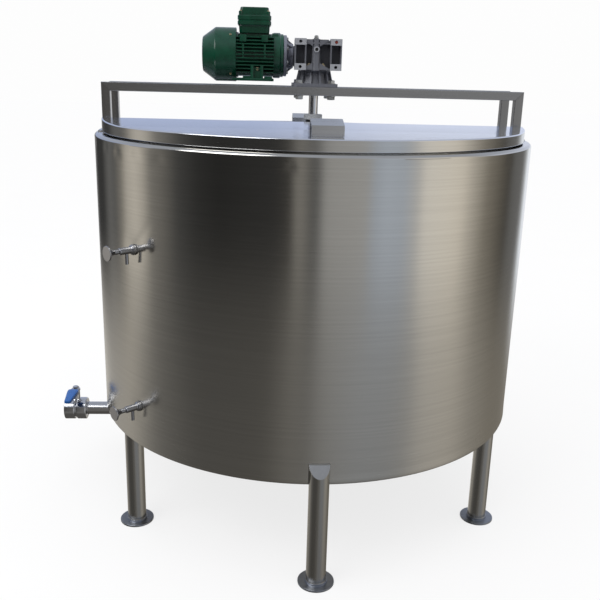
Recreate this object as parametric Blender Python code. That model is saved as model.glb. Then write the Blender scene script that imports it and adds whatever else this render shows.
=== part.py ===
"""Bulk milk tank: a jacketed round vat on six legs, with two lid leaves, an agitator driven
by a worm gearmotor on two portal frames, a bottom outlet with a ball valve, and two cocks.

Metres, +Z up.  The floor is z = 0, the front is -Y and the portal frames run along X.
Every piece is drawn about the tank's own axis.  The empty "tank_axis" carries that axis to
x = TANK_X, so that the origin lies on the floor under the middle of the whole outline.
"""
import math

import bmesh
import bpy
from mathutils import Matrix, Vector

# ---------------------------------------------------------------- driving dimensions
GAP = 0.0003                    # left between pieces that touch
MERGE = 2e-5                    # points closer than this are one point
ROUND = 56                      # facets on the large rounds
FINE = 20                       # facets on the small rounds
PIPE_FACETS = 16

# Jacketed body
SHELL_RADIUS = 0.650
SHELL_BOTTOM = 0.290
SHELL_HEIGHT = 0.840
SHELL_SKIN = 0.003
RIM_ROUND = 0.010               # radius of the rolled top edge
JACKET = 0.060                  # from the vessel's inside to the shell's face
VESSEL_RADIUS = SHELL_RADIUS - JACKET
VESSEL_SKIN = 0.004
VESSEL_FLOOR_EDGE = SHELL_BOTTOM + 0.055    # where the floor meets the wall
VESSEL_FLOOR_MIDDLE = SHELL_BOTTOM + 0.035  # at the outlet
SPIGOT_DROP = 0.006             # its outlet's end below the shell
SEAT_WIDTH = 0.022              # ledge round the opening that the rear leaf lies on
SEAT_DEPTH = 0.0103
LIP_DROP = 0.028                # lip of the shoulder, down beside the vessel's wall

# Legs: the front and back ones stand on the wall's line, the others just inside it
LEG_RADIUS = 0.027
LEG_WALL = 0.002
LEG_CAP = 0.003
LEG_REACH_ON_WALL = SHELL_RADIUS
LEG_INSET = 0.030               # from the wall's line to the middle of the other legs
LEG_REACH_INSIDE = SHELL_RADIUS - LEG_INSET
LEG_SPREAD = 57.0               # degrees from a front or back leg to its neighbours
LEG_TOP_AT_WALL = SHELL_BOTTOM + 0.059
LEG_TOP_SLOPE = 1.10            # fall of the slanted cap per metre outwards
FOOT_RADIUS = 0.049
FOOT_PLATE = 0.006
FOOT_RING_RADIUS = 0.030
FOOT_RING = 0.005

# Bridge across the opening
DECK_HALF_WIDTH = 0.095
DECK_THICKNESS = 0.003
FRAME_TUBE = 0.025
FRAME_WALL = 0.002
FRAME_SETBACK = 0.028           # from the shell's face to the posts' outer face
FRAME_HALF_LENGTH = SHELL_RADIUS - FRAME_SETBACK
FRAME_Y = 0.067
FRAME_TOP_ABOVE_RIM = 0.140

# Lid leaves
LID_SKIN = 0.0025
FRONT_LID_SETBACK = 0.022       # from the shell's face to the skirt
FRONT_LID_RADIUS = SHELL_RADIUS - FRONT_LID_SETBACK
FRONT_LID_GAP = 0.0025          # between the deck's edge and the leaf's
FRONT_LID_EDGE_Y = -(DECK_HALF_WIDTH + FRONT_LID_GAP)
FRONT_LID_CREASE_Y = -0.320
FRONT_LID_SKIRT_LIFT = 0.0045   # foot of the skirt above the rim
FRONT_LID_TOP = 0.0335          # top above the rim, in front of the crease
FRONT_LID_EDGE_TOP = 0.0410     # and at the straight edge
COAMING_WIDTH = 0.003
COAMING_SETBACK = 0.0055        # from the lip to the coaming
COAMING_CLEARANCE = 0.0015      # from its ends to the leaf's straight side as it swings
REAR_LID_SKIN = 0.003
REAR_LID_PLAY = 0.0035          # round the rear leaf in its seat, enough for it to swing clear
REAR_FOLD_DEPTH = 0.020
REAR_FOLD_HALF_LENGTH = VESSEL_RADIUS - 0.050
HINGE_HALF_LENGTH = 0.320
HINGE_ROD = 0.003
HINGE_BARREL = 0.005
HINGE_STRIP = 0.0025
HINGE_LUG_WIDTH = 0.004
HINGE_EYE = 0.0046              # round end of a lug
HINGE_STRIP_DROP = 0.022        # the front strip's foot below the axis
HINGE_STRIP_REACH = 0.024       # the rear strip's far edge behind the axis
HINGE_LUG_BACK = 0.009          # the front lug's back face behind the axis
HINGE_LUG_FOOT = 0.015          # the rear lug's length on the deck
HINGE_LUG_RISE = 0.004          # and its height there
HANDLE_WIDTH = 0.080
HANDLE_DEPTH = 0.057
HANDLE_HEIGHT = 0.0265
HANDLE_RISE = 0.0130            # of its top, towards the back
HANDLE_SHEET = 0.003
FRONT_HANDLE_INSET = 0.072      # from the leaf's edge to the handle's front face
REAR_HANDLE_INSET = 0.0358      # from the leaf's edge to the handle's back face

# Agitator
SHAFT_RADIUS = 0.014
SHAFT_FOOT = VESSEL_FLOOR_MIDDLE + 0.070
GLAND_RADIUS = 0.0225
GLAND_HEIGHT = 0.038
COLLAR_RADIUS = 0.028
COLLAR_HEIGHT = 0.016
COLLAR_ABOVE_RIM = 0.043
BLADE_HUB_RADIUS = 0.026
BLADE_HUB_HEIGHT = 0.070
BLADE_REACH = VESSEL_RADIUS - 0.190
BLADE_THICKNESS = 0.005
BLADE_HEIGHT = 0.055

# Worm gearbox, its height taken from the beams' top
FLANGE_THICKNESS = 0.009
FLANGE_HALF_X = 0.0655
BOLT_X = 0.047
BOLT_RADIUS = 0.005
BOLT_HEX = 0.0115
BOLT_HEAD = 0.011
BOLT_NUT = 0.009
PEDESTAL_HEIGHT = 0.046         # beams' top to the main body
PEDESTAL_RADIUS = 0.050
PEDESTAL_FLARE = 0.004          # wider at its foot
FLANGE_CORNER = 0.012
WEB_HALF = 0.012                # half thickness of the pedestal's webs
WEB_REACH_X = 0.060
WEB_REACH_Y = 0.062
BOLT_ROOM = 0.0015              # round a nut, in the pedestal's webs
GEAR_ROOM = 0.004               # round the worm and the wheel
HOUSING_ROOF = 0.012
HOUSING_END_WALL = 0.008        # closed wall at the worm's far end
HOUSING_END_BEARING = 0.022     # from there to where the bore narrows
POCKET_EDGE = 0.006             # side wall of the front pockets
POCKET_REACH = 0.033            # their inner side from the housing's side
POCKET_DEPTH = 0.022
POCKET_FLOOR = 0.026
POCKET_ROOF = 0.024
HOUSING_HEIGHT = 0.090
HOUSING_HALF_X = 0.069
HOUSING_SHIFT_X = 0.006
HOUSING_FRONT_Y = -0.070
HOUSING_BACK_Y = 0.079
WHEEL_RADIUS = 0.0363
WHEEL_WIDTH = 0.028
WORM_RADIUS = 0.012
CENTRE_DISTANCE = 0.049         # worm axis behind the output axis
WORM_RATIO = 30

# Motor, lengths measured leftwards from the gearbox
MOTOR_ABOVE_BEAM = 0.087        # axis height above the beams' top
MOTOR_SHAFT = 0.0095
ADAPTER_LENGTH = 0.030
ADAPTER_RADIUS = 0.060
SHIELD_LENGTH = 0.031
SHIELD_RADIUS = 0.066
FRAME_LENGTH = 0.111
FRAME_ROOT = 0.062
FIN_TIP = 0.074
FIN_PITCH = 0.010
FIN_THICKNESS = 0.004
FINS_PER_SIDE = 11
STATOR_OUTER = 0.0500
ROTOR_OUTER = 0.0360
COVER_RADIUS = 0.078
COVER_LENGTH = 0.101
COVER_CHAMFER = 0.039
COVER_END_RADIUS = 0.050
COVER_SKIN = 0.0025
INLET_EYE = 0.012               # hole in the middle of the cover's end
INLET_RADIUS = 0.0085
INLET_REACH = 0.034             # of the inlets from the motor's axis
BOX_HALF_Y = 0.045
BOX_BODY = (0.096, 0.021)       # length, height
BOX_BAND = (0.100, 0.028)
BOX_LID = (0.086, 0.023)
BOX_BODY_STEP = 0.003           # the body's side behind the band's
BOX_WALL = 0.014
BOX_FLOOR = 0.006
BOX_LID_STEP = 0.007            # the lid's side behind the band's
BOX_LID_WALL = 0.006
BOX_LID_ROOF = 0.004
BOX_CENTRE_X = 0.088            # left of the gearbox end of the motor
RAIL = (0.125, 0.030, 0.008)    # motor foot: length, width, height
RAIL_DROP = 0.075               # underside of the feet below the motor's axis
RAIL_INNER = 0.045              # inner edge of a rail from the motor's axis
FOOT_BLOCK_INNER = 0.041        # the blocks between the rails and the frame
FOOT_BLOCK_OUTER = 0.068
FOOT_BLOCK_HALF = 0.018
FOOT_BLOCK_SHIFT = 0.012        # right of the rails' middle
FOOT_BLOCK_DROP = 0.033         # their top below the axis

# Outlet and ball valve
OUTLET_Z = SHELL_BOTTOM - 0.078
PIPE_RADIUS = 0.021
PIPE_WALL = 0.002
VALVE_NEAR = SHELL_RADIUS + 0.079           # both ends' distances from the tank's axis
VALVE_FAR = VALVE_NEAR + 0.071
NUT_RADIUS = 0.039
NUT_LENGTHS = (0.031, 0.034)    # near and far nut
NECK_RADIUS = 0.031
VALVE_BORE = 0.0165
BALL_RADIUS = 0.0220
BALL_PLAY = 0.0009              # between the ball and its faceted seat
STEM_RADIUS = 0.006
STEM_BOSS_RADIUS = 0.013
STEM_BOSS_TOP = 0.070           # above the pipe's axis
LEVER_THICKNESS = 0.003
LEVER_WIDTH = 0.020
LEVER_REACH = 0.112
GRIP_LENGTH = 0.092
GRIP_END = 0.120
GRIP_WIDTHS = (0.033, 0.022)    # at the stem end and at the free end
GRIP_HEIGHTS = (0.016, 0.012)

# Sampling cocks, measured outwards from the wall
COCK_ANGLE = 221.0              # degrees about the tank's axis
COCK_HEIGHTS = {"upper": SHELL_BOTTOM + 0.563, "lower": SHELL_BOTTOM + 0.119}
COCK_RING = (0.013, 0.005)      # radius, length
COCK_BODY = (0.0095, 0.042)
COCK_STEM = 0.0045
COCK_STEM_DEPTH = 0.016
COCK_NECK = 0.0065
COCK_REACH = 0.078
KNOB_RADIUS = 0.020
KNOB_EDGE = 0.004
KNOB_FLARE = 0.012
SPOUT_RADIUS = 0.00475
SPOUT_OUT = 0.027
SPOUT_DROP = 0.036

# ---------------------------------------------------------------- derived places
RIM = SHELL_BOTTOM + SHELL_HEIGHT
DECK_TOP = RIM + GAP + DECK_THICKNESS
BEAM_TOP = RIM + FRAME_TOP_ABOVE_RIM
BEAM_MIDDLE = BEAM_TOP - FRAME_TUBE / 2
VESSEL_OUTER = VESSEL_RADIUS + VESSEL_SKIN
LIP_RADIUS = VESSEL_OUTER + GAP
SEAT_RADIUS = LIP_RADIUS + SEAT_WIDTH
SEAT_Z = RIM - SEAT_DEPTH
REAR_LID_TOP = SEAT_Z + GAP + REAR_LID_SKIN
REAR_LID_RADIUS = SEAT_RADIUS - REAR_LID_PLAY
REAR_AXIS = Vector((0, DECK_HALF_WIDTH + HINGE_BARREL + 2 * GAP + 0.0014,
                    REAR_LID_TOP + GAP + HINGE_BARREL))
FRONT_AXIS = Vector((0, FRONT_LID_EDGE_Y + GAP + HINGE_BARREL, RIM + FRONT_LID_EDGE_TOP - 0.007))
MOTOR_AXIS = Vector((0, CENTRE_DISTANCE, BEAM_TOP + MOTOR_ABOVE_BEAM))
HOUSING_LEFT = HOUSING_SHIFT_X - HOUSING_HALF_X
MOTOR_RIGHT = HOUSING_LEFT - ADAPTER_LENGTH
FRAME_LEFT = MOTOR_RIGHT - SHIELD_LENGTH - FRAME_LENGTH
COVER_LEFT = FRAME_LEFT - COVER_LENGTH
VALVE_MIDDLE = Vector((-(VALVE_NEAR + VALVE_FAR) / 2, 0, OUTLET_Z))
TANK_X = (VALVE_FAR - SHELL_RADIUS) / 2

FINISHES = {                    # colour, roughness, metallic
    "brushed_steel": ((0.60, 0.59, 0.56), 0.32, 1.0),
    "bright_steel": ((0.72, 0.74, 0.78), 0.22, 1.0),
    "dark_cast": ((0.20, 0.20, 0.21), 0.55, 0.6),
    "green_paint": ((0.010, 0.110, 0.055), 0.30, 0.0),
    "blue_grip": ((0.020, 0.120, 0.420), 0.40, 0.0),
    "foam": ((0.80, 0.70, 0.42), 0.90, 0.0),
    "laminations": ((0.30, 0.28, 0.26), 0.50, 0.8),
    "bronze": ((0.62, 0.42, 0.20), 0.35, 1.0),
    "black_plastic": ((0.03, 0.03, 0.03), 0.50, 0.0),
}


# ---------------------------------------------------------------- modelling tools
def finish(name):
    """The named finish as a Principled material."""
    material = bpy.data.materials.get(name)
    if material is None:
        colour, roughness, metallic = FINISHES[name]
        material = bpy.data.materials.new(name)
        material.use_nodes = True
        shader = material.node_tree.nodes["Principled BSDF"]
        shader.inputs["Base Color"].default_value = (*colour, 1.0)
        shader.inputs["Roughness"].default_value = roughness
        shader.inputs["Metallic"].default_value = metallic
        material.diffuse_color = (*colour, 1.0)
    return material


def turned(profile, facets=FINE, along=(0, 0, 1), at=(0, 0, 0), phase=0.0):
    """A shape turned about an axis from (radius, height) points.

    An outline with both ends on the axis makes a full solid, any other makes a ring.
    The phase turns the facets, in facets, so that corners of crossing rounds don't meet."""
    shape = bmesh.new()
    points = [shape.verts.new((radius, 0, height)) for radius, height in profile]
    edges = [shape.edges.new(pair) for pair in zip(points, points[1:])]
    if profile[0][0] > 0 or profile[-1][0] > 0:
        edges.append(shape.edges.new((points[-1], points[0])))
    bmesh.ops.spin(shape, geom=points + edges, axis=(0, 0, 1), cent=(0, 0, 0),
                   angle=math.tau, steps=facets)
    bmesh.ops.remove_doubles(shape, verts=shape.verts, dist=MERGE)
    turn = Vector((0, 0, 1)).rotation_difference(Vector(along)).to_matrix().to_4x4()
    twist = Matrix.Rotation(math.tau * phase / facets, 4, "Z")
    shape.transform(Matrix.Translation(at) @ turn @ twist)
    return shape


def rod(radius, low, high, facets=FINE, along=(0, 0, 1), at=(0, 0, 0), phase=0.0):
    """A plain cylinder."""
    return turned([(0, low), (radius, low), (radius, high), (0, high)], facets, along, at, phase)


def looped(*loops):
    """A closed wall skinned between loops of equally many points, the last joined to the first."""
    shape = bmesh.new()
    rings = [[shape.verts.new(point) for point in loop] for loop in loops]
    for ring, after in zip(rings, rings[1:] + rings[:1]):
        for i in range(len(ring)):
            j = (i + 1) % len(ring)
            shape.faces.new((ring[i], ring[j], after[j], after[i]))
    return shape


def extruded(outline, low, high, along):
    """A flat outline carried from low to high along X, Y or Z."""
    spread = {"X": lambda a, b, level: (level, a, b),
              "Y": lambda a, b, level: (a, level, b),
              "Z": lambda a, b, level: (a, b, level)}[along]
    shape = bmesh.new()
    ends = [[shape.verts.new(spread(*point, level)) for point in outline] for level in (low, high)]
    for end in ends:
        shape.faces.new(end)
    for i in range(len(outline)):
        j = (i + 1) % len(outline)
        shape.faces.new((ends[0][i], ends[0][j], ends[1][j], ends[1][i]))
    return shape


def block(low, high, bevel=0.0):
    """A box between two corners, its edges bevelled if asked."""
    low, high = Vector(low), Vector(high)
    shape = bmesh.new()
    bmesh.ops.create_cube(shape, size=1.0)
    size = high - low
    shape.transform(Matrix.Translation((low + high) / 2) @ Matrix.Diagonal((*size, 1)))
    if bevel:
        bmesh.ops.bevel(shape, geom=shape.edges[:], offset=bevel, segments=1, affect="EDGES")
    return shape


def arc(radius, start, stop, steps):
    """Points on a circle about the tank's axis, angles in radians."""
    angles = (start + (stop - start) * i / steps for i in range(steps + 1))
    return [(radius * math.cos(angle), radius * math.sin(angle)) for angle in angles]


def square_tube(size, wall, low, high, low_tilt=0.0, high_tilt=0.0):
    """Square tube along Z.  A tilt of 1 or -1 cuts that end as a mitre across X."""
    def loop(half, level, tilt):
        corners = ((-half, -half), (half, -half), (half, half), (-half, half))
        return [(x, y, level + tilt * x) for x, y in corners]
    outer, inner = size / 2, size / 2 - wall
    return looped(loop(outer, low, low_tilt), loop(inner, low, low_tilt),
                  loop(inner, high, high_tilt), loop(outer, high, high_tilt))


def mesh_object(name, shape, pivot, turn):
    bmesh.ops.recalc_face_normals(shape, faces=shape.faces)
    if shape.calc_volume(signed=True) < 0:
        bmesh.ops.reverse_faces(shape, faces=shape.faces)
    shape.transform(Matrix.Translation(-Vector(pivot)))
    mesh = bpy.data.meshes.new(name)
    shape.to_mesh(mesh)
    shape.free()
    thing = bpy.data.objects.new(name, mesh)
    bpy.context.scene.collection.objects.link(thing)
    thing.parent = tank_axis
    thing.location = pivot
    thing.rotation_euler.z = turn
    return thing


def piece(name, shape, material, pivot=(0, 0, 0), turn=0.0, add=(), cut=()):
    """One named sub-part, with the shapes that are joined to it and cut from it."""
    thing = mesh_object(name, shape, pivot, turn)
    thing.data.materials.append(finish(material))
    jobs = [("UNION", tool) for tool in add] + [("DIFFERENCE", tool) for tool in cut]
    for number, (operation, tool) in enumerate(jobs):
        guide = mesh_object(f"{name}_tool_{number}", tool, pivot, turn)
        guide.hide_render = True
        guide.display_type = "WIRE"
        step = thing.modifiers.new(guide.name, "BOOLEAN")
        step.operation = operation
        step.solver = "EXACT"
        step.object = guide
    return thing


def smooth(*things, angle=30.0):
    for thing in things:
        thing.data.shade_smooth()
        thing.data.set_sharp_from_angle(angle=math.radians(angle))


# ---------------------------------------------------------------- jacketed body
def rolled(radius, inset, steps):
    """The rolled top edge: a quarter turn of this radius, inset from the shell's face."""
    middle_r, middle_z = SHELL_RADIUS - RIM_ROUND, RIM - RIM_ROUND
    turns = (math.pi / 2 * i / steps for i in range(steps + 1))
    reach = radius - inset
    return [(middle_r + reach * math.cos(t), middle_z + reach * math.sin(t)) for t in turns]


def body_shell():
    outer = rolled(RIM_ROUND, 0.0, 3)
    inner = rolled(RIM_ROUND, SHELL_SKIN, 2)
    profile = [
        (SHELL_RADIUS, SHELL_BOTTOM), *outer,
        (SEAT_RADIUS, RIM), (SEAT_RADIUS, SEAT_Z), (LIP_RADIUS, SEAT_Z),
        (LIP_RADIUS, RIM - LIP_DROP), (LIP_RADIUS + SHELL_SKIN, RIM - LIP_DROP),
        (LIP_RADIUS + SHELL_SKIN, SEAT_Z - SHELL_SKIN),
        (SEAT_RADIUS + SHELL_SKIN, SEAT_Z - SHELL_SKIN), (SEAT_RADIUS + SHELL_SKIN, RIM - SHELL_SKIN),
        *reversed(inner), (SHELL_RADIUS - SHELL_SKIN, SHELL_BOTTOM)]
    return piece("outer_shell", turned(profile, ROUND), "brushed_steel")


def body_inside():
    """Floor plate of the jacket, the foam fill and the vessel with its outlet spigot."""
    plate_radius = SHELL_RADIUS - SHELL_SKIN - GAP
    hole = PIPE_RADIUS + GAP
    plate_low = SHELL_BOTTOM + 0.002
    plate_high = plate_low + SHELL_SKIN
    piece("shell_bottom", turned([(hole, plate_low), (plate_radius, plate_low),
                  (plate_radius, plate_high), (hole, plate_high)], ROUND), "brushed_steel")

    floor_edge = VESSEL_FLOOR_EDGE - VESSEL_SKIN
    floor_middle = VESSEL_FLOOR_MIDDLE - VESSEL_SKIN
    foam_low = plate_high + GAP
    foam_high = RIM - LIP_DROP - GAP
    piece("insulation", turned([
        (hole, foam_low), (plate_radius, foam_low), (plate_radius, foam_high),
        (VESSEL_OUTER + GAP, foam_high), (VESSEL_OUTER + GAP, floor_edge - GAP),
        (hole, floor_middle - GAP)], ROUND), "foam")

    bore = PIPE_RADIUS - PIPE_WALL
    spigot_foot = SHELL_BOTTOM - SPIGOT_DROP
    piece("inner_vessel", turned([
        (bore, spigot_foot), (PIPE_RADIUS, spigot_foot), (PIPE_RADIUS, floor_middle),
        (VESSEL_OUTER, floor_edge), (VESSEL_OUTER, SEAT_Z), (VESSEL_RADIUS, SEAT_Z),
        (VESSEL_RADIUS, VESSEL_FLOOR_EDGE), (bore, VESSEL_FLOOR_MIDDLE)], ROUND), "bright_steel")


# ---------------------------------------------------------------- legs and feet
def legs_and_feet():
    """Six legs, numbered anticlockwise from the front one; the front and back ones stand
    on the wall's line, notched to the shell, with a slanted cap."""
    foot_top = FOOT_PLATE + FOOT_RING
    bore = LEG_RADIUS - LEG_WALL
    directions = [-90, LEG_SPREAD - 90, 90 - LEG_SPREAD, 90, 90 + LEG_SPREAD, -90 - LEG_SPREAD]
    for number, direction in enumerate(directions, 1):
        on_wall = abs(direction) == 90
        reach = LEG_REACH_ON_WALL if on_wall else LEG_REACH_INSIDE
        leg_foot, bore_top = foot_top + GAP, SHELL_BOTTOM - GAP - LEG_CAP
        leg_top = LEG_TOP_AT_WALL + LEG_RADIUS if on_wall else SHELL_BOTTOM - GAP
        leg = turned([(0, bore_top), (bore, bore_top), (bore, leg_foot), (LEG_RADIUS, leg_foot),
                      (LEG_RADIUS, leg_top), (0, leg_top)], FINE, at=(reach, 0, 0))
        cuts = []
        if on_wall:
            clear = 2 * LEG_RADIUS
            cuts = [rod(SHELL_RADIUS + GAP, SHELL_BOTTOM - GAP, RIM, ROUND),
                    extruded([(reach - clear, LEG_TOP_AT_WALL + clear * LEG_TOP_SLOPE),
                              (reach + clear, LEG_TOP_AT_WALL - clear * LEG_TOP_SLOPE),
                              (reach + clear, RIM), (reach - clear, RIM)], -clear, clear, "Y")]
        turn = math.radians(direction)
        piece(f"leg_{number}", leg, "brushed_steel", turn=turn, cut=cuts)
        foot = turned([(0, 0), (FOOT_RADIUS, 0), (FOOT_RADIUS, FOOT_PLATE),
                       (FOOT_RING_RADIUS, FOOT_PLATE), (FOOT_RING_RADIUS, foot_top), (0, foot_top)],
                      FINE, at=(reach, 0, 0))
        piece(f"foot_{number}", foot, "brushed_steel", turn=turn)


# ---------------------------------------------------------------- bridge and portal frames
def bridge():
    radius = SHELL_RADIUS - RIM_ROUND
    reach = math.asin(DECK_HALF_WIDTH / radius)
    outline = arc(radius, -reach, reach, 4) + arc(radius, math.pi - reach, math.pi + reach, 4)
    piece("bridge_deck", extruded(outline, RIM + GAP, DECK_TOP, "Z"), "brushed_steel",
                 cut=[rod(SHAFT_RADIUS + 0.004, RIM - 0.01, DECK_TOP + 0.01)])

    gland_foot = DECK_TOP + GAP
    piece("shaft_gland", turned([
        (SHAFT_RADIUS + GAP, gland_foot), (GLAND_RADIUS, gland_foot),
        (GLAND_RADIUS, gland_foot + GLAND_HEIGHT), (SHAFT_RADIUS + GAP, gland_foot + GLAND_HEIGHT)]),
        "black_plastic")


def portal_frames():
    """Two mitred portals of square tube, their posts standing on the deck."""
    half = FRAME_TUBE / 2
    mitre_gap = GAP * 1.5
    post_x = FRAME_HALF_LENGTH - half
    post_foot = DECK_TOP + GAP
    for side, frame_y in (("front", -FRAME_Y), ("rear", FRAME_Y)):
        beam_half = FRAME_HALF_LENGTH - half - mitre_gap
        beam = square_tube(FRAME_TUBE, FRAME_WALL, -beam_half, beam_half, 1.0, -1.0)
        lie_along_x = Matrix.Rotation(math.pi / 2, 4, "Y")
        beam.transform(Matrix.Translation((0, frame_y, BEAM_MIDDLE)) @ lie_along_x)
        holes = [rod(BOLT_RADIUS + GAP, BEAM_TOP - 0.05, BEAM_TOP + 0.05, 12, at=(x, frame_y, 0))
                 for x in (-BOLT_X, BOLT_X)]
        piece(f"{side}_beam", beam, "brushed_steel", cut=holes)
        for end, sign in (("left", -1), ("right", 1)):
            post = square_tube(FRAME_TUBE, FRAME_WALL, post_foot, BEAM_MIDDLE, high_tilt=float(sign))
            post.transform(Matrix.Translation((sign * post_x, frame_y, 0)))
            piece(f"{side}_{end}_post", post, "brushed_steel")


# ---------------------------------------------------------------- lid leaves
def leaf_block(radius, edge_y, crease_y, low, top, edge_top):
    """A half-round block on the -Y side.  Its top is level in front of the crease and
    rises behind it to edge_top at the straight edge."""
    corner, crease = math.asin(edge_y / radius), math.asin(crease_y / radius)
    side = arc(radius, corner, crease, 4)
    outline = side + arc(radius, crease, -math.pi - crease, 22)[1:-1]
    outline += [(-x, y) for x, y in reversed(side)]
    last, fold = len(outline) - 1, len(side) - 1

    def top_z(y):
        return top + (edge_top - top) * max(0.0, (y - crease_y) / (edge_y - crease_y))

    shape = bmesh.new()
    lower = [shape.verts.new((x, y, low)) for x, y in outline]
    upper = [shape.verts.new((x, y, top_z(y))) for x, y in outline]
    shape.faces.new(lower)
    shape.faces.new(upper[fold:last - fold + 1])
    shape.faces.new(upper[:fold + 1] + upper[last - fold:])
    for i in range(len(outline)):
        j = (i + 1) % len(outline)
        shape.faces.new((lower[i], lower[j], upper[j], upper[i]))
    return shape


def handle(name, front_y, foot_z, pivot):
    """A folded sheet: front wall, rising top and back wall, open at both ends and below."""
    sheet, back = HANDLE_SHEET, HANDLE_DEPTH
    slope = HANDLE_RISE / HANDLE_DEPTH
    inside_top = HANDLE_HEIGHT - sheet
    outline = [(0, 0), (0, HANDLE_HEIGHT), (back, HANDLE_HEIGHT + HANDLE_RISE), (back, 0),
               (back - sheet, 0), (back - sheet, inside_top + slope * (back - sheet)),
               (sheet, inside_top + slope * sheet), (sheet, 0)]
    moved = [(front_y + y, foot_z + z) for y, z in outline]
    shape = extruded(moved, -HANDLE_WIDTH / 2, HANDLE_WIDTH / 2, "X")
    return piece(name, shape, "bright_steel", pivot)


def front_leaf():
    top, skin, low = RIM + FRONT_LID_TOP, LID_SKIN, RIM + FRONT_LID_SKIRT_LIFT
    edge_top = RIM + FRONT_LID_EDGE_TOP
    outside = leaf_block(FRONT_LID_RADIUS, FRONT_LID_EDGE_Y, FRONT_LID_CREASE_Y, low, top, edge_top)
    inside = leaf_block(FRONT_LID_RADIUS - skin, FRONT_LID_EDGE_Y - skin, FRONT_LID_CREASE_Y,
                        low - 0.01, top - skin, edge_top - skin)
    piece("front_lid", outside, "bright_steel", FRONT_AXIS, cut=[inside])
    handle("front_handle", FRONT_HANDLE_INSET - FRONT_LID_RADIUS, top + GAP, FRONT_AXIS)

    # The coaming stops short of the circle that the foot of the leaf's straight side swings in
    start = LIP_RADIUS + COAMING_SETBACK
    swing = math.hypot(FRONT_AXIS.y - FRONT_LID_EDGE_Y + skin, FRONT_AXIS.z - low)
    reach = math.asin((swing + COAMING_CLEARANCE - FRONT_AXIS.y) / start)
    outline = (arc(start, -reach, reach - math.pi, 28)
               + arc(start + COAMING_WIDTH, reach - math.pi, -reach, 28))
    piece("lid_coaming", extruded(outline, SEAT_Z + GAP, top - skin - GAP, "Z"), "brushed_steel")


def rear_leaf():
    radius = REAR_LID_RADIUS
    edge = REAR_AXIS.y
    corner = math.asin(edge / radius)
    outline = arc(radius, corner, math.pi - corner, 28)
    fold_y = edge + 0.001
    fold = block((-REAR_FOLD_HALF_LENGTH, fold_y, REAR_LID_TOP - REAR_FOLD_DEPTH),
                 (REAR_FOLD_HALF_LENGTH, fold_y + REAR_LID_SKIN, REAR_LID_TOP - REAR_LID_SKIN / 2))
    piece("rear_lid", extruded(outline, REAR_LID_TOP - REAR_LID_SKIN, REAR_LID_TOP, "Z"),
          "bright_steel", REAR_AXIS, add=[fold])
    handle("rear_handle", radius - REAR_HANDLE_INSET - HANDLE_DEPTH, REAR_LID_TOP + GAP, REAR_AXIS)


def hinge(side, axis, strip, lug):
    """A rod welded in two lugs on the deck, in a barrel with a strip welded to the leaf.

    strip is the strip's (y, z) box about the axis, lug the lug's (y, z) outline about it."""
    x_axis = (1, 0, 0)
    leaf = turned([(HINGE_ROD + GAP, -HINGE_HALF_LENGTH), (HINGE_BARREL, -HINGE_HALF_LENGTH),
                   (HINGE_BARREL, HINGE_HALF_LENGTH), (HINGE_ROD + GAP, HINGE_HALF_LENGTH)],
                  16, x_axis, axis)
    (low_y, low_z), (high_y, high_z) = strip
    inset = 0.002
    bar = block(axis + Vector((-HINGE_HALF_LENGTH + inset, low_y, low_z)),
                axis + Vector((HINGE_HALF_LENGTH - inset, high_y, high_z)))
    piece(f"{side}_hinge_leaf", leaf, "brushed_steel", axis, add=[bar])

    lug_x = HINGE_HALF_LENGTH + 0.001
    lug_end = lug_x + HINGE_LUG_WIDTH
    steel = rod(HINGE_ROD, -lug_end - 0.002, lug_end + 0.002, 12, x_axis, axis)
    lugs = []
    for sign in (-1, 1):
        low, high = sorted((sign * lug_x, sign * lug_end))
        lugs.append(extruded([(axis.y + y, axis.z + z) for y, z in lug], low, high, "X"))
    piece(f"{side}_hinge_rod", steel, "bright_steel", add=lugs)


def hinges():
    near, low = HINGE_BARREL, HINGE_BARREL - HINGE_STRIP
    weld = HINGE_ROD + 2 * GAP      # where the strip starts, in the barrel's wall
    eye = HINGE_EYE
    front_foot = DECK_TOP + GAP - FRONT_AXIS.z
    corner = eye * math.sqrt(0.5)
    hinge("front", FRONT_AXIS, ((-near, -HINGE_STRIP_DROP), (-low, -weld)),
          [(-eye, front_foot), (HINGE_LUG_BACK, front_foot), (HINGE_LUG_BACK, 0), (corner, corner),
           (0, eye), (-corner, corner), (-eye, 0)])
    deck_edge = DECK_HALF_WIDTH + GAP - REAR_AXIS.y
    deck_top = DECK_TOP + GAP - REAR_AXIS.z
    lug_start, lug_top = deck_edge - HINGE_LUG_FOOT, deck_top + HINGE_LUG_RISE
    hinge("rear", REAR_AXIS, ((weld, -near), (HINGE_STRIP_REACH, -low)),
          [(deck_edge, -eye), (0, -eye), (corner, -corner), (eye, 0), (eye, lug_top),
           (lug_start, lug_top), (lug_start, deck_top), (deck_edge, deck_top)])


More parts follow.
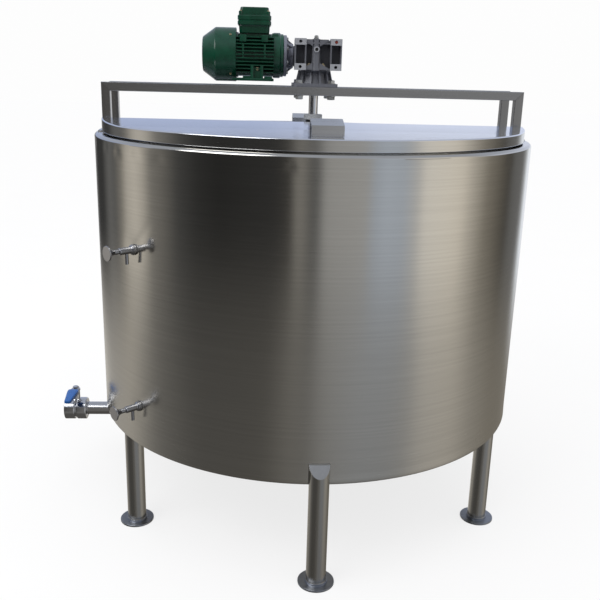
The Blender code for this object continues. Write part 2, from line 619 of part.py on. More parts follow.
# ---------------------------------------------------------------- agitator
def agitator():
    shaft_top = MOTOR_AXIS.z + WHEEL_WIDTH / 2 + 0.002
    piece("agitator_shaft", rod(SHAFT_RADIUS, SHAFT_FOOT, shaft_top), "bright_steel")
    bore = SHAFT_RADIUS + GAP

    collar_low = RIM + COLLAR_ABOVE_RIM
    piece("slinger_collar", turned([
        (bore, collar_low), (COLLAR_RADIUS, collar_low),
        (COLLAR_RADIUS, collar_low + COLLAR_HEIGHT), (bore, collar_low + COLLAR_HEIGHT)], 32),
        "bright_steel")

    hub_low = SHAFT_FOOT + 0.002
    hub = turned([(bore, hub_low), (BLADE_HUB_RADIUS, hub_low),
                  (BLADE_HUB_RADIUS, hub_low + BLADE_HUB_HEIGHT), (bore, hub_low + BLADE_HUB_HEIGHT)])
    middle = hub_low + BLADE_HUB_HEIGHT / 2
    root = BLADE_HUB_RADIUS - 0.004
    blades = []
    for quarter in range(4):
        blade = block((root, -BLADE_THICKNESS / 2, -BLADE_HEIGHT / 2),
                      (BLADE_REACH, BLADE_THICKNESS / 2, BLADE_HEIGHT / 2))
        pitch = Matrix.Rotation(math.radians(20), 4, "X")
        blade.transform(Matrix.Translation((0, 0, middle))
                        @ Matrix.Rotation(math.radians(90 * quarter + 11), 4, "Z") @ pitch)
        blades.append(blade)
    piece("agitator_blades", hub, "bright_steel", add=blades)

    wheel_low = MOTOR_AXIS.z - WHEEL_WIDTH / 2
    hub_foot = BEAM_TOP + PEDESTAL_HEIGHT + 3 * GAP
    piece("worm_wheel", turned([
        (bore, hub_foot), (0.022, hub_foot), (0.022, wheel_low), (WHEEL_RADIUS, wheel_low),
        (WHEEL_RADIUS, wheel_low + WHEEL_WIDTH), (bore, wheel_low + WHEEL_WIDTH)], WORM_RATIO),
        "bronze")


# ---------------------------------------------------------------- gearbox
def gearbox():
    low, body = BEAM_TOP + GAP, BEAM_TOP + PEDESTAL_HEIGHT
    flange_top = low + FLANGE_THICKNESS
    flange_y = FRAME_Y + FRAME_TUBE / 2
    shift = HOUSING_SHIFT_X
    flange = block((-FLANGE_HALF_X, -flange_y, low), (FLANGE_HALF_X, flange_y, flange_top))
    bmesh.ops.bevel(flange, geom=[edge for edge in flange.edges
                                  if abs(edge.verts[0].co.z - edge.verts[1].co.z) > GAP],
                    offset=FLANGE_CORNER, segments=2, affect="EDGES")
    drum = turned([(0, flange_top - 0.002), (PEDESTAL_RADIUS + PEDESTAL_FLARE, flange_top - 0.002),
                   (PEDESTAL_RADIUS, body), (0, body)], 32)
    web_low, web_high = flange_top - 0.001, body - 0.0005
    webs = [block((shift - WEB_REACH_X, -WEB_HALF, web_low), (shift + WEB_REACH_X, WEB_HALF, web_high)),
            block((shift - WEB_HALF, -WEB_REACH_Y, web_low), (shift + WEB_HALF, WEB_REACH_Y, web_high))]
    holes = [rod(SHAFT_RADIUS + GAP, low - 0.01, body + 0.01)]
    holes += [rod(BOLT_RADIUS + GAP, low - 0.01, flange_top + 0.01, 12, at=(x, y, 0))
              for x in (-BOLT_X, BOLT_X) for y in (-FRAME_Y, FRAME_Y)]
    holes += [rod(BOLT_HEX + BOLT_ROOM, flange_top, body + 0.01, 12, at=(x, y, 0))
              for x in (-BOLT_X, BOLT_X) for y in (-FRAME_Y, FRAME_Y)]
    piece("gearbox_pedestal", flange, "dark_cast", add=[drum, *webs], cut=holes)

    top = body + HOUSING_HEIGHT
    left, right = HOUSING_LEFT, HOUSING_LEFT + 2 * HOUSING_HALF_X
    block_low, block_high = (left, HOUSING_FRONT_Y, body + GAP), (right, HOUSING_BACK_Y, top)
    worm = MOTOR_AXIS
    x_axis = (1, 0, 0)
    worm_room, shaft_room = WORM_RADIUS + GEAR_ROOM, MOTOR_SHAFT + GAP
    bearing, end_wall = right - HOUSING_END_BEARING, right - HOUSING_END_WALL
    worm_bore = [(0, left - 0.01), (worm_room, left - 0.01), (worm_room, bearing),
                 (shaft_room, bearing), (shaft_room, end_wall), (0, end_wall)]
    cuts = [rod(WHEEL_RADIUS + GEAR_ROOM, body - 0.01, top - HOUSING_ROOF, 28, phase=0.3),
            turned(worm_bore, FINE, x_axis, worm)]
    pocket_low, pocket_high = body + POCKET_FLOOR, top - POCKET_ROOF
    for start, stop in ((left + POCKET_EDGE, left + POCKET_REACH),
                        (right - POCKET_REACH, right - POCKET_EDGE)):
        cuts.append(block((start, HOUSING_FRONT_Y - 0.01, pocket_low),
                          (stop, HOUSING_FRONT_Y + POCKET_DEPTH, pocket_high)))
    piece("gearbox_housing", block(block_low, block_high, 0.004), "dark_cast", cut=cuts)

    for number, (x, y) in enumerate(((-BOLT_X, -FRAME_Y), (BOLT_X, -FRAME_Y),
                                     (BOLT_X, FRAME_Y), (-BOLT_X, FRAME_Y)), 1):
        head = BEAM_TOP - FRAME_TUBE - GAP
        nut = flange_top + GAP
        bolt = turned([(0, head - BOLT_HEAD), (BOLT_HEX, head - BOLT_HEAD), (BOLT_HEX, head),
                       (BOLT_RADIUS, head), (BOLT_RADIUS, nut), (BOLT_HEX, nut),
                       (BOLT_HEX, nut + BOLT_NUT), (0, nut + BOLT_NUT)], 6, at=(x, y, 0))
        piece(f"gearbox_bolt_{number}", bolt, "bright_steel")


# ---------------------------------------------------------------- motor
def fin_outline():
    """Cross-section of the frame: a round root with level fins on both sides."""
    half = FIN_THICKNESS / 2
    first = -(FINS_PER_SIDE - 1) / 2 * FIN_PITCH
    side = []
    for number in range(FINS_PER_SIDE):
        z = first + number * FIN_PITCH
        tip = math.sqrt(FIN_TIP ** 2 - z ** 2)
        low, high = z - half, z + half
        root_low, root_high = (math.sqrt(FRAME_ROOT ** 2 - level ** 2) for level in (low, high))
        side += [(root_low, low), (tip, low), (tip, high), (root_high, high)]
    end = math.atan2(side[-1][1], side[-1][0])
    crown = arc(FRAME_ROOT, end, math.pi - end, 6)[1:-1]
    right = side + crown
    left = [(-y, z) for y, z in reversed(side)]
    keel = [(-y, -z) for y, z in crown]
    return right + left + keel


def motor():
    x_axis, axis = (1, 0, 0), MOTOR_AXIS
    y, z = axis.y, axis.z
    frame_right = FRAME_LEFT + FRAME_LENGTH
    bore = STATOR_OUTER + GAP

    body = extruded([(y + a, z + b) for a, b in fin_outline()], FRAME_LEFT, frame_right + 0.001, "X")
    shield = rod(SHIELD_RADIUS, frame_right, MOTOR_RIGHT - GAP, 28, x_axis, axis, 0.5)
    box_middle = MOTOR_RIGHT - BOX_CENTRE_X
    pad_top = z + FRAME_ROOT + 0.0005
    pad = block((box_middle - 0.045, y - 0.030, z + 0.050), (box_middle + 0.045, y + 0.030, pad_top))
    length, width, height = RAIL
    rail_low = z - RAIL_DROP
    rail_right = frame_right + 0.002
    solids = [shield, pad]
    for sign in (-1, 1):
        inner, outer = y + sign * RAIL_INNER, y + sign * (RAIL_INNER + width)
        near, far = sorted((inner, outer))
        solids.append(block((rail_right - length, near, rail_low), (rail_right, far, rail_low + height)))
        near, far = sorted((y + sign * FOOT_BLOCK_INNER, y + sign * FOOT_BLOCK_OUTER))
        middle = rail_right - length / 2 + FOOT_BLOCK_SHIFT
        solids.append(block((middle - FOOT_BLOCK_HALF, near, rail_low + height / 2),
                            (middle + FOOT_BLOCK_HALF, far, z - FOOT_BLOCK_DROP)))
    shaft_room = MOTOR_SHAFT + GAP
    bored = turned([(0, FRAME_LEFT - 0.01), (bore, FRAME_LEFT - 0.01), (bore, frame_right - 0.004),
                    (shaft_room, frame_right - 0.004), (shaft_room, MOTOR_RIGHT + 0.01),
                    (0, MOTOR_RIGHT + 0.01)], 28, x_axis, axis)
    piece("motor_frame", body, "green_paint", add=solids, cut=[bored])

    stator_left, stator_right = FRAME_LEFT + 0.006, frame_right - 0.012
    ring = [(ROTOR_OUTER + 0.0006, stator_left), (STATOR_OUTER, stator_left),
            (STATOR_OUTER, stator_right), (ROTOR_OUTER + 0.0006, stator_right)]
    piece("stator", turned(ring, 28, x_axis, axis), "laminations")

    worm_end = HOUSING_LEFT + 2 * HOUSING_HALF_X - 0.009
    fan_x = FRAME_LEFT - 0.045
    shaft = MOTOR_SHAFT
    rotor = turned([
        (0, fan_x - 0.012), (shaft, fan_x - 0.012), (shaft, stator_left), (ROTOR_OUTER, stator_left),
        (ROTOR_OUTER, stator_right), (shaft, stator_right), (shaft, -0.036), (WORM_RADIUS, -0.033),
        (WORM_RADIUS, 0.033), (shaft, 0.036), (shaft, worm_end), (0, worm_end)],
        FINE, x_axis, axis)
    piece("rotor_and_worm", rotor, "laminations", axis)

    hub = turned([(shaft + GAP, fan_x - 0.010), (0.020, fan_x - 0.010),
                  (0.020, fan_x + 0.014), (shaft + GAP, fan_x + 0.014)], FINE, x_axis, axis)
    blades = []
    for number in range(6):
        blade = block((fan_x - 0.009, 0.017, -0.0012), (fan_x + 0.013, 0.066, 0.0012))
        blade.transform(Matrix.Translation((0, y, z)) @ Matrix.Rotation(math.tau * number / 6, 4, "X"))
        blades.append(blade)
    piece("motor_fan", hub, "black_plastic", axis, add=blades)

    right, skin = FRAME_LEFT - GAP, COVER_SKIN
    shoulder = COVER_LEFT + COVER_CHAMFER
    eye = INLET_EYE
    cover = turned([
        (COVER_RADIUS, right), (COVER_RADIUS, shoulder), (COVER_END_RADIUS, COVER_LEFT),
        (eye, COVER_LEFT), (eye, COVER_LEFT + skin), (COVER_END_RADIUS - skin / 2, COVER_LEFT + skin),
        (COVER_RADIUS - skin, shoulder + skin / 2), (COVER_RADIUS - skin, right)], 36, x_axis, axis)
    inlets = []
    for number in range(8):
        turn = math.tau * (number + 0.5) / 8
        centre = axis + Vector((0, INLET_REACH * math.cos(turn), INLET_REACH * math.sin(turn)))
        inlets.append(rod(INLET_RADIUS, COVER_LEFT - 0.01, COVER_LEFT + 0.01, 8, x_axis, centre, 0.3))
    piece("fan_cover", cover, "green_paint", cut=inlets)

    adapter_right = HOUSING_LEFT - GAP
    adapter = turned([
        (MOTOR_SHAFT + GAP, MOTOR_RIGHT), (ADAPTER_RADIUS, MOTOR_RIGHT),
        (ADAPTER_RADIUS, MOTOR_RIGHT + 0.010), (0.046, MOTOR_RIGHT + 0.016),
        (0.036, adapter_right), (MOTOR_SHAFT + GAP, adapter_right)], 28, x_axis, axis)
    piece("motor_adapter", adapter, "dark_cast")
    terminal_box(box_middle, y, pad_top + GAP)


def terminal_box(middle, y, low):
    """A flared box with a wide band under its lid, and the lid."""
    (body_length, body_height), (band_length, band_height) = BOX_BODY, BOX_BAND
    band_low = low + body_height
    band_top = band_low + band_height
    step = BOX_BODY_STEP
    body = block((middle - body_length / 2, y - BOX_HALF_Y + step, low),
                 (middle + body_length / 2, y + BOX_HALF_Y - step, band_low + 0.004))
    band = block((middle - band_length / 2, y - BOX_HALF_Y, band_low),
                 (middle + band_length / 2, y + BOX_HALF_Y, band_top), 0.002)
    wall = BOX_WALL
    hollow = block((middle - body_length / 2 + wall, y - BOX_HALF_Y + wall, low + BOX_FLOOR),
                   (middle + body_length / 2 - wall, y + BOX_HALF_Y - wall, band_top + 0.01))
    piece("terminal_box", band, "green_paint", add=[body], cut=[hollow])

    lid_length, lid_height = BOX_LID
    lid_low = band_top + GAP
    lid_half_y = BOX_HALF_Y - BOX_LID_STEP
    lid = block((middle - lid_length / 2, y - lid_half_y, lid_low),
                (middle + lid_length / 2, y + lid_half_y, lid_low + lid_height), 0.005)
    wall = BOX_LID_WALL
    hollow = block((middle - lid_length / 2 + wall, y - lid_half_y + wall, lid_low - 0.01),
                   (middle + lid_length / 2 - wall, y + lid_half_y - wall,
                    lid_low + lid_height - BOX_LID_ROOF))
    piece("terminal_box_lid", lid, "green_paint", cut=[hollow])


# ---------------------------------------------------------------- outlet and valve
def outlet():
    """Pipe from the vessel's spigot down to a mitred corner, and out to the left."""
    start = SHELL_BOTTOM - SPIGOT_DROP - GAP
    end = -(VALVE_NEAR - GAP)

    def ring(x, z, level, upright, radius):
        """The pipe's section; level and upright say how far it spreads along X and Z."""
        spokes = (math.tau * i / PIPE_FACETS for i in range(PIPE_FACETS))
        return [(x + level * radius * math.cos(spoke), radius * math.sin(spoke),
                 z + upright * radius * math.cos(spoke)) for spoke in spokes]

    stations = [(0, start, 1, 0), (0, OUTLET_Z, 1, 1), (end, OUTLET_Z, 0, 1)]
    outer = [ring(*station, PIPE_RADIUS) for station in stations]
    inner = [ring(*station, PIPE_RADIUS - PIPE_WALL) for station in stations]
    piece("outlet_pipe", looped(*outer, *reversed(inner)), "brushed_steel")


def valve():
    x_axis, middle = (1, 0, 0), VALVE_MIDDLE
    near_nut, far_nut = NUT_LENGTHS
    left, right = -VALVE_FAR, -VALVE_NEAR
    room = BALL_RADIUS + BALL_PLAY
    seat = math.sqrt(room ** 2 - VALVE_BORE ** 2)
    ball_steps = 6
    cavity = []
    start = math.atan2(VALVE_BORE, seat)
    for i in range(ball_steps + 1):
        turn = start + (math.pi - 2 * start) * i / ball_steps
        cavity.append((room * math.sin(turn), middle.x + room * math.cos(turn)))
    body = turned([
        (VALVE_BORE, right), (NUT_RADIUS, right), (NUT_RADIUS, right - near_nut),
        (NECK_RADIUS, right - near_nut), (NECK_RADIUS, left + far_nut), (NUT_RADIUS, left + far_nut),
        (NUT_RADIUS, left), (VALVE_BORE, left), *reversed(cavity)], FINE, x_axis, (0, 0, OUTLET_Z))
    boss = rod(STEM_BOSS_RADIUS, NECK_RADIUS - 0.004, STEM_BOSS_TOP, FINE, at=middle)
    stem_hole = rod(STEM_RADIUS + GAP, BALL_RADIUS - 0.010, STEM_BOSS_TOP + 0.01, 16, at=middle)
    piece("valve_body", body, "bright_steel", add=[boss], cut=[stem_hole])

    lever_low = STEM_BOSS_TOP + GAP
    lever_top = lever_low + LEVER_THICKNESS
    ball_points = [(BALL_RADIUS * math.sin(math.pi * i / 10), -BALL_RADIUS * math.cos(math.pi * i / 10))
                   for i in range(11)]
    ball_points[0], ball_points[-1] = (0, -BALL_RADIUS), (0, BALL_RADIUS)
    ball = turned(ball_points, 20, at=middle)
    nut_low = lever_top + GAP
    stem = turned([(0, BALL_RADIUS - 0.006), (STEM_RADIUS, BALL_RADIUS - 0.006), (STEM_RADIUS, nut_low),
                   (0.009, nut_low), (0.009, nut_low + 0.005), (0, nut_low + 0.005)], 16, at=middle)
    bore = rod(VALVE_BORE - 0.002, -0.04, 0.04, 16, (0, 1, 0), middle)
    piece("valve_ball", ball, "bright_steel", middle, add=[stem], cut=[bore])

    half = LEVER_WIDTH / 2
    x, z = middle.x, middle.z
    lever_outline = [(x - half, 0.006), (x - half / 2, 0.014), (x + half / 2, 0.014), (x + half, 0.006),
                     (x + half, -LEVER_REACH), (x - half, -LEVER_REACH)]
    eye = rod(STEM_RADIUS + GAP, 0, lever_top + 0.01, 16, at=middle)
    piece("valve_lever", extruded(lever_outline, z + lever_low, z + lever_top, "Z"),
          "bright_steel", middle, cut=[eye])

    wide, narrow = (width / 2 for width in GRIP_WIDTHS)
    near_y, far_y = -(GRIP_END - GRIP_LENGTH), -GRIP_END
    outline = [(x - narrow, far_y), (x + narrow, far_y), (x + wide, near_y - 0.012),
               (x + wide * 0.8, near_y), (x - wide * 0.8, near_y), (x - wide, near_y - 0.012)]
    centre = z + lever_low + LEVER_THICKNESS / 2
    height = GRIP_HEIGHTS[0] / 2
    grip = extruded(outline, centre - height, centre + height, "Z")
    taper = (GRIP_HEIGHTS[0] - GRIP_HEIGHTS[1]) / 2 / GRIP_LENGTH
    for vert in grip.verts:
        sign = 1 if vert.co.z > centre else -1
        vert.co.z -= sign * taper * (near_y - vert.co.y)
    slot = block((x - half - GAP, far_y - 0.01, centre - LEVER_THICKNESS / 2 - GAP),
                 (x + half + GAP, near_y + 0.01, centre + LEVER_THICKNESS / 2 + GAP))
    piece("lever_grip", grip, "blue_grip", middle, cut=[slot])


# ---------------------------------------------------------------- sampling cocks
def cocks():
    turn = math.radians(COCK_ANGLE)
    x_axis = (1, 0, 0)
    for place, height in COCK_HEIGHTS.items():
        wall = Vector((SHELL_RADIUS, 0, height))
        ring_radius, ring_length = COCK_RING
        body_radius, body_end = COCK_BODY
        bore_floor = body_end - COCK_STEM_DEPTH
        body = turned([
            (0, -0.004), (ring_radius, -0.004), (ring_radius, ring_length), (body_radius, ring_length),
            (body_radius, body_end), (COCK_STEM + GAP, body_end), (COCK_STEM + GAP, bore_floor),
            (0, bore_floor)], FINE, x_axis, wall)
        spout = rod(SPOUT_RADIUS, -SPOUT_DROP, -0.002, 10, at=wall + Vector((SPOUT_OUT - 0.008, 0, 0)),
                    phase=0.5)
        shell = rod(SHELL_RADIUS + GAP, height - 0.05, height + 0.05, ROUND)
        shell.transform(Matrix.Rotation(-turn, 4, "Z"))
        piece(f"{place}_cock_body", body, "bright_steel", turn=turn, add=[spout], cut=[shell])

        disc = COCK_REACH - KNOB_EDGE
        knob = turned([
            (0, bore_floor + GAP), (COCK_STEM, bore_floor + GAP), (COCK_STEM, body_end + GAP),
            (COCK_NECK, body_end + GAP), (COCK_NECK, disc - KNOB_FLARE), (KNOB_RADIUS, disc),
            (KNOB_RADIUS, COCK_REACH), (0, COCK_REACH)], FINE, x_axis, wall)
        outward = Matrix.Rotation(turn, 4, "Z")
        knob.transform(outward)
        piece(f"{place}_cock_knob", knob, "bright_steel", outward @ wall)


# ---------------------------------------------------------------- the whole tank
for old in list(bpy.data.objects):
    bpy.data.objects.remove(old, do_unlink=True)

tank_axis = bpy.data.objects.new("tank_axis", None)
tank_axis.location = (TANK_X, 0, 0)
bpy.context.scene.collection.objects.link(tank_axis)

body_shell()
body_inside()
legs_and_feet()
bridge()
portal_frames()
front_leaf()
rear_leaf()
hinges()
agitator()
gearbox()
motor()
outlet()
valve()
cocks()
smooth(*(thing for thing in bpy.data.objects if thing.type == "MESH"))
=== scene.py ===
import math

import bmesh
import bpy
from mathutils import Matrix, Vector


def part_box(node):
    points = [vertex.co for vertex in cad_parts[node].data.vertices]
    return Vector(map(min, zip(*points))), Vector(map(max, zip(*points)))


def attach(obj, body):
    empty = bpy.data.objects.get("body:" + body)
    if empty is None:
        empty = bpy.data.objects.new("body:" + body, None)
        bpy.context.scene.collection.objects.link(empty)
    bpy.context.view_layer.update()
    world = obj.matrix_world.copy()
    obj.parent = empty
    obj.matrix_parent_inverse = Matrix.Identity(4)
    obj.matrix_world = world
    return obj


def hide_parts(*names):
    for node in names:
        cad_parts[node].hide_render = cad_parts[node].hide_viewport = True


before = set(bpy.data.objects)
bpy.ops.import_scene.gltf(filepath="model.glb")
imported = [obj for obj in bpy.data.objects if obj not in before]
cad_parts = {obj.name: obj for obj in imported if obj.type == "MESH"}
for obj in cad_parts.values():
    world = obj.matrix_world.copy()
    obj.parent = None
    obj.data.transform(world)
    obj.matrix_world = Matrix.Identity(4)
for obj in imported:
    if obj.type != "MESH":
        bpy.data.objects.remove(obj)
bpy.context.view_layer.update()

# ---------------------------------------------------------------- places, from the model
shell_low, shell_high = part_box("outer_shell")
SHELL_RADIUS = (shell_high.x - shell_low.x) / 2
SHELL_BOTTOM = shell_low.z
RIM = shell_high.z
TANK = Vector((shell_high.x - SHELL_RADIUS, 0, 0))          # the tank's own upright axis
UP, ACROSS, BACK = Vector((0, 0, 1)), Vector((1, 0, 0)), Vector((0, 1, 0))

SKIN = 0.003
RIM_ROUND = 0.010
LIP_RADIUS = 0.5943
SEAT_RADIUS = 0.6163
SEAT_Z = RIM - 0.0103
LIP_FOOT = RIM - 0.028
DECK_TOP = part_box("bridge_deck")[1].z
DECK_HALF = 0.095
BEAM_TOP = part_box("front_beam")[1].z
SHAFT_RADIUS = 0.014
TUBE = 0.025
AIR = 0.0003                                                # room that the model leaves between its parts


# ---------------------------------------------------------------- shapes
def lathe(profile, segments=64, phase=0.0):
    """A shape turned about Z from (radius, height) points; off the axis its ends join into a ring."""
    shape = bmesh.new()
    rings = []
    for radius, height in profile:
        if radius < 1e-6:
            rings.append([shape.verts.new((0, 0, height))])
            continue
        turns = (math.tau * (i + phase) / segments for i in range(segments))
        rings.append([shape.verts.new((radius * math.cos(t), radius * math.sin(t), height)) for t in turns])
    pairs = list(zip(rings, rings[1:]))
    if len(rings[0]) > 1 and len(rings[-1]) > 1:
        pairs.append((rings[-1], rings[0]))
    for ring, after in pairs:
        for i in range(segments):
            j = i + 1
            corners = [ring[i % len(ring)], ring[j % len(ring)], after[j % len(after)], after[i % len(after)]]
            shape.faces.new(list(dict.fromkeys(corners)))
    return shape


def softened(points, radius, steps=3, closed=False):
    """An outline with each corner swapped for a small round."""
    out = []
    count = len(points)
    for i, point in enumerate(points):
        corner = Vector(point)
        if not closed and i in (0, count - 1):
            out.append(tuple(corner))
            continue
        before, after = Vector(points[i - 1]) - corner, Vector(points[(i + 1) % count]) - corner
        reach = min(radius, 0.45 * before.length, 0.45 * after.length)
        start, stop = corner + before.normalized() * reach, corner + after.normalized() * reach
        for step in range(steps + 1):
            t = step / steps
            out.append(tuple(start * (1 - t) ** 2 + corner * 2 * t * (1 - t) + stop * t * t))
    return out


def skinned(loops, closed=False):
    """Faces between loops of equally many points; open ends are capped."""
    shape = bmesh.new()
    rings = [[shape.verts.new(point) for point in loop] for loop in loops]
    pairs = list(zip(rings, rings[1:]))
    if closed:
        pairs.append((rings[-1], rings[0]))
    else:
        shape.faces.new(rings[0])
        shape.faces.new(rings[-1])
    for ring, after in pairs:
        for i in range(len(ring)):
            j = (i + 1) % len(ring)
            shape.faces.new((ring[i], ring[j], after[j], after[i]))
    return shape


def bevelled(shape, width, segments=2, sharper=25):
    bmesh.ops.recalc_face_normals(shape, faces=shape.faces)
    edges = [edge for edge in shape.edges if len(edge.link_faces) == 2
             and edge.calc_face_angle() > math.radians(sharper)]
    bmesh.ops.bevel(shape, geom=edges, offset=width, segments=segments, profile=0.5,
                    affect="EDGES", clamp_overlap=True)
    return shape


def prism(outline, low, high, along="Z", bevel=0.0, segments=2):
    """A flat outline carried from low to high along X, Y or Z."""
    spread = {"X": lambda a, b, level: (level, a, b),
              "Y": lambda a, b, level: (a, level, b),
              "Z": lambda a, b, level: (a, b, level)}[along]
    shape = skinned([[spread(*point, level) for point in outline] for level in (low, high)])
    return bevelled(shape, bevel, segments) if bevel else shape


def slab(low, high, bevel=0.001, segments=2):
    """A block between two corners with rounded edges."""
    outline = [(low[0], low[1]), (high[0], low[1]), (high[0], high[1]), (low[0], high[1])]
    return prism(outline, low[2], high[2], "Z", bevel, segments)


def placed(shape, at=(0, 0, 0), along=UP, turn=0.0):
    """The shape with its Z axis laid along another direction, and its origin moved."""
    lay = UP.rotation_difference(Vector(along)).to_matrix().to_4x4()
    shape.transform(Matrix.Translation(at) @ lay @ Matrix.Rotation(turn, 4, "Z"))
    return shape


def about_tank(shape, degrees=0.0):
    shape.transform(Matrix.Translation(TANK) @ Matrix.Rotation(math.radians(degrees), 4, "Z"))
    return shape


def joined(*shapes):
    """Several shapes in one mesh, each left whole."""
    whole = bmesh.new()
    for shape in shapes:
        bmesh.ops.recalc_face_normals(shape, faces=shape.faces)
        carrier = bpy.data.meshes.new("carrier")
        shape.to_mesh(carrier)
        shape.free()
        whole.from_mesh(carrier)
        bpy.data.meshes.remove(carrier)
    return whole


def cast(base, add=(), cut=(), bevel=0.0, segments=2):
    """The base with shapes united to it and cut out of it, its sharp edges rounded at the end."""
    def holder(shape, name):
        bmesh.ops.recalc_face_normals(shape, faces=shape.faces)
        mesh = bpy.data.meshes.new(name)
        shape.to_mesh(mesh)
        shape.free()
        thing = bpy.data.objects.new(name, mesh)
        bpy.context.scene.collection.objects.link(thing)
        return thing
    block = holder(base, "block")
    tools = []
    for operation, shapes in (("UNION", add), ("DIFFERENCE", cut)):
        for shape in shapes:
            tool = holder(shape, "tool")
            step = block.modifiers.new("step", "BOOLEAN")
            step.operation, step.solver, step.object = operation, "EXACT", tool
            tools.append(tool)
    made = bmesh.new()
    made.from_object(block, bpy.context.evaluated_depsgraph_get())
    for thing in (block, *tools):
        mesh = thing.data
        bpy.data.objects.remove(thing)
        bpy.data.meshes.remove(mesh)
    bmesh.ops.remove_doubles(made, verts=made.verts, dist=1e-5)
    bmesh.ops.dissolve_limit(made, angle_limit=math.radians(0.5), verts=made.verts, edges=made.edges)
    return bevelled(made, bevel, segments) if bevel else made


def hose(path, radius, segments=10, closed=False):
    """A round section carried along a path."""
    points = [Vector(point) for point in path]
    count = len(points)
    side = None
    loops = []
    for i, here in enumerate(points):
        before = points[i - 1] if i or closed else here
        after = points[(i + 1) % count] if i < count - 1 or closed else here
        run = (after - before).normalized()
        if side is None:
            side = run.orthogonal().normalized()
        side = (side - run * side.dot(run)).normalized()
        other = run.cross(side)
        turns = (math.tau * k / segments for k in range(segments))
        loops.append([here + (side * math.cos(t) + other * math.sin(t)) * radius for t in turns])
    return skinned(loops, closed)


def bead(path, radius=0.0016, closed=False, pitch=0.0035):
    """A weld bead: a thin run whose thickness swells at each ripple."""
    points = [Vector(point) for point in path]
    if closed:
        points.append(points[0])
    fine = []
    for start, stop in zip(points, points[1:]):
        count = max(1, round((stop - start).length / (pitch / 3)))
        fine += [start.lerp(stop, k / count) for k in range(count)]
    if not closed:
        fine.append(points[-1])
    shape = hose(fine, radius, 8, closed)
    for number, vert in enumerate(shape.verts):
        centre = fine[number // 8]
        swell = 1.0 if (number // 8) % 3 == 0 else 0.86
        vert.co = centre + (vert.co - centre) * swell
    return shape


def solid(rim, segments=64, soft=0.0, steps=3):
    """A solid turned about Z from its rim's (radius, height) points, the corners between them softened."""
    rim = softened(rim, soft, steps) if soft else rim
    return lathe([(0, rim[0][1]), *rim, (0, rim[-1][1])], segments)


def disc(radius, low, high, segments=48):
    return solid([(radius, low), (radius, high)], segments)


def band(inner, outer, low, high):
    """The section of a plain ring."""
    return [(inner, low), (outer, low), (outer, high), (inner, high)]


def hollow(section, segments=64, soft=0.001, steps=3):
    """A ring turned about Z from its section, every corner softened."""
    return lathe(softened(section, soft, steps, True), segments)


def hexagon(across_corners, height, chamfer=0.0012):
    """A bolt's head or a nut, its top corners turned off."""
    return solid([(across_corners, 0), (across_corners, height - chamfer),
                  (across_corners - 1.6 * chamfer, height)], 6)


def screw(radius, height):
    """A round head with a socket in it."""
    socket, floor_level = radius * 0.5, height * 0.4
    return solid([(radius, 0), (radius, height), (socket, height), (socket, floor_level)], 20, radius * 0.2)


def washer(hole, rim, thick):
    return lathe(band(hole, rim, 0, thick), 28)


def arc(radius, start, stop, steps):
    """Points on a circle, angles in degrees."""
    turns = (math.radians(start + (stop - start) * i / steps) for i in range(steps + 1))
    return [(radius * math.cos(t), radius * math.sin(t)) for t in turns]


def around(count, first=0.0):
    """Evenly spread angles in radians, the first one a share of a step past nought."""
    return [math.tau * (k + first) / count for k in range(count)]


def circle(radius, count, first=0.0):
    return [(radius * math.cos(t), radius * math.sin(t)) for t in around(count, first)]


def oblong(half_wide, half_high, corner, steps):
    """A rectangle's outline about its middle, with rounded corners."""
    return softened([(-half_wide, -half_high), (half_wide, -half_high), (half_wide, half_high),
                     (-half_wide, half_high)], corner, steps, True)


# ---------------------------------------------------------------- finishes
class Reading:
    """A node's output that sums and products can be written with."""
    def __init__(self, sheet, socket):
        self.sheet, self.socket = sheet, socket

    def math(self, operation, *terms):
        return self.sheet.node("ShaderNodeMath", {"operation": operation}, dict(enumerate(terms)))

    def __add__(self, other):
        return self.math("ADD", self, other)

    __radd__ = __add__

    def __sub__(self, other):
        return self.math("SUBTRACT", self, other)

    def __rsub__(self, other):
        return self.math("SUBTRACT", other, self)

    def __mul__(self, other):
        return self.math("MULTIPLY", self, other)

    __rmul__ = __mul__

    def __truediv__(self, other):
        return self.math("DIVIDE", self, other)

    def __pow__(self, power):
        return self.math("POWER", self, power)

    def above(self, edge, width):
        """0 below the edge, 1 above it, with a soft step of this width."""
        return self.sheet.node("ShaderNodeMapRange", {"interpolation_type": "SMOOTHSTEP"},
                               {"Value": self, "From Min": edge - width / 2, "From Max": edge + width / 2})


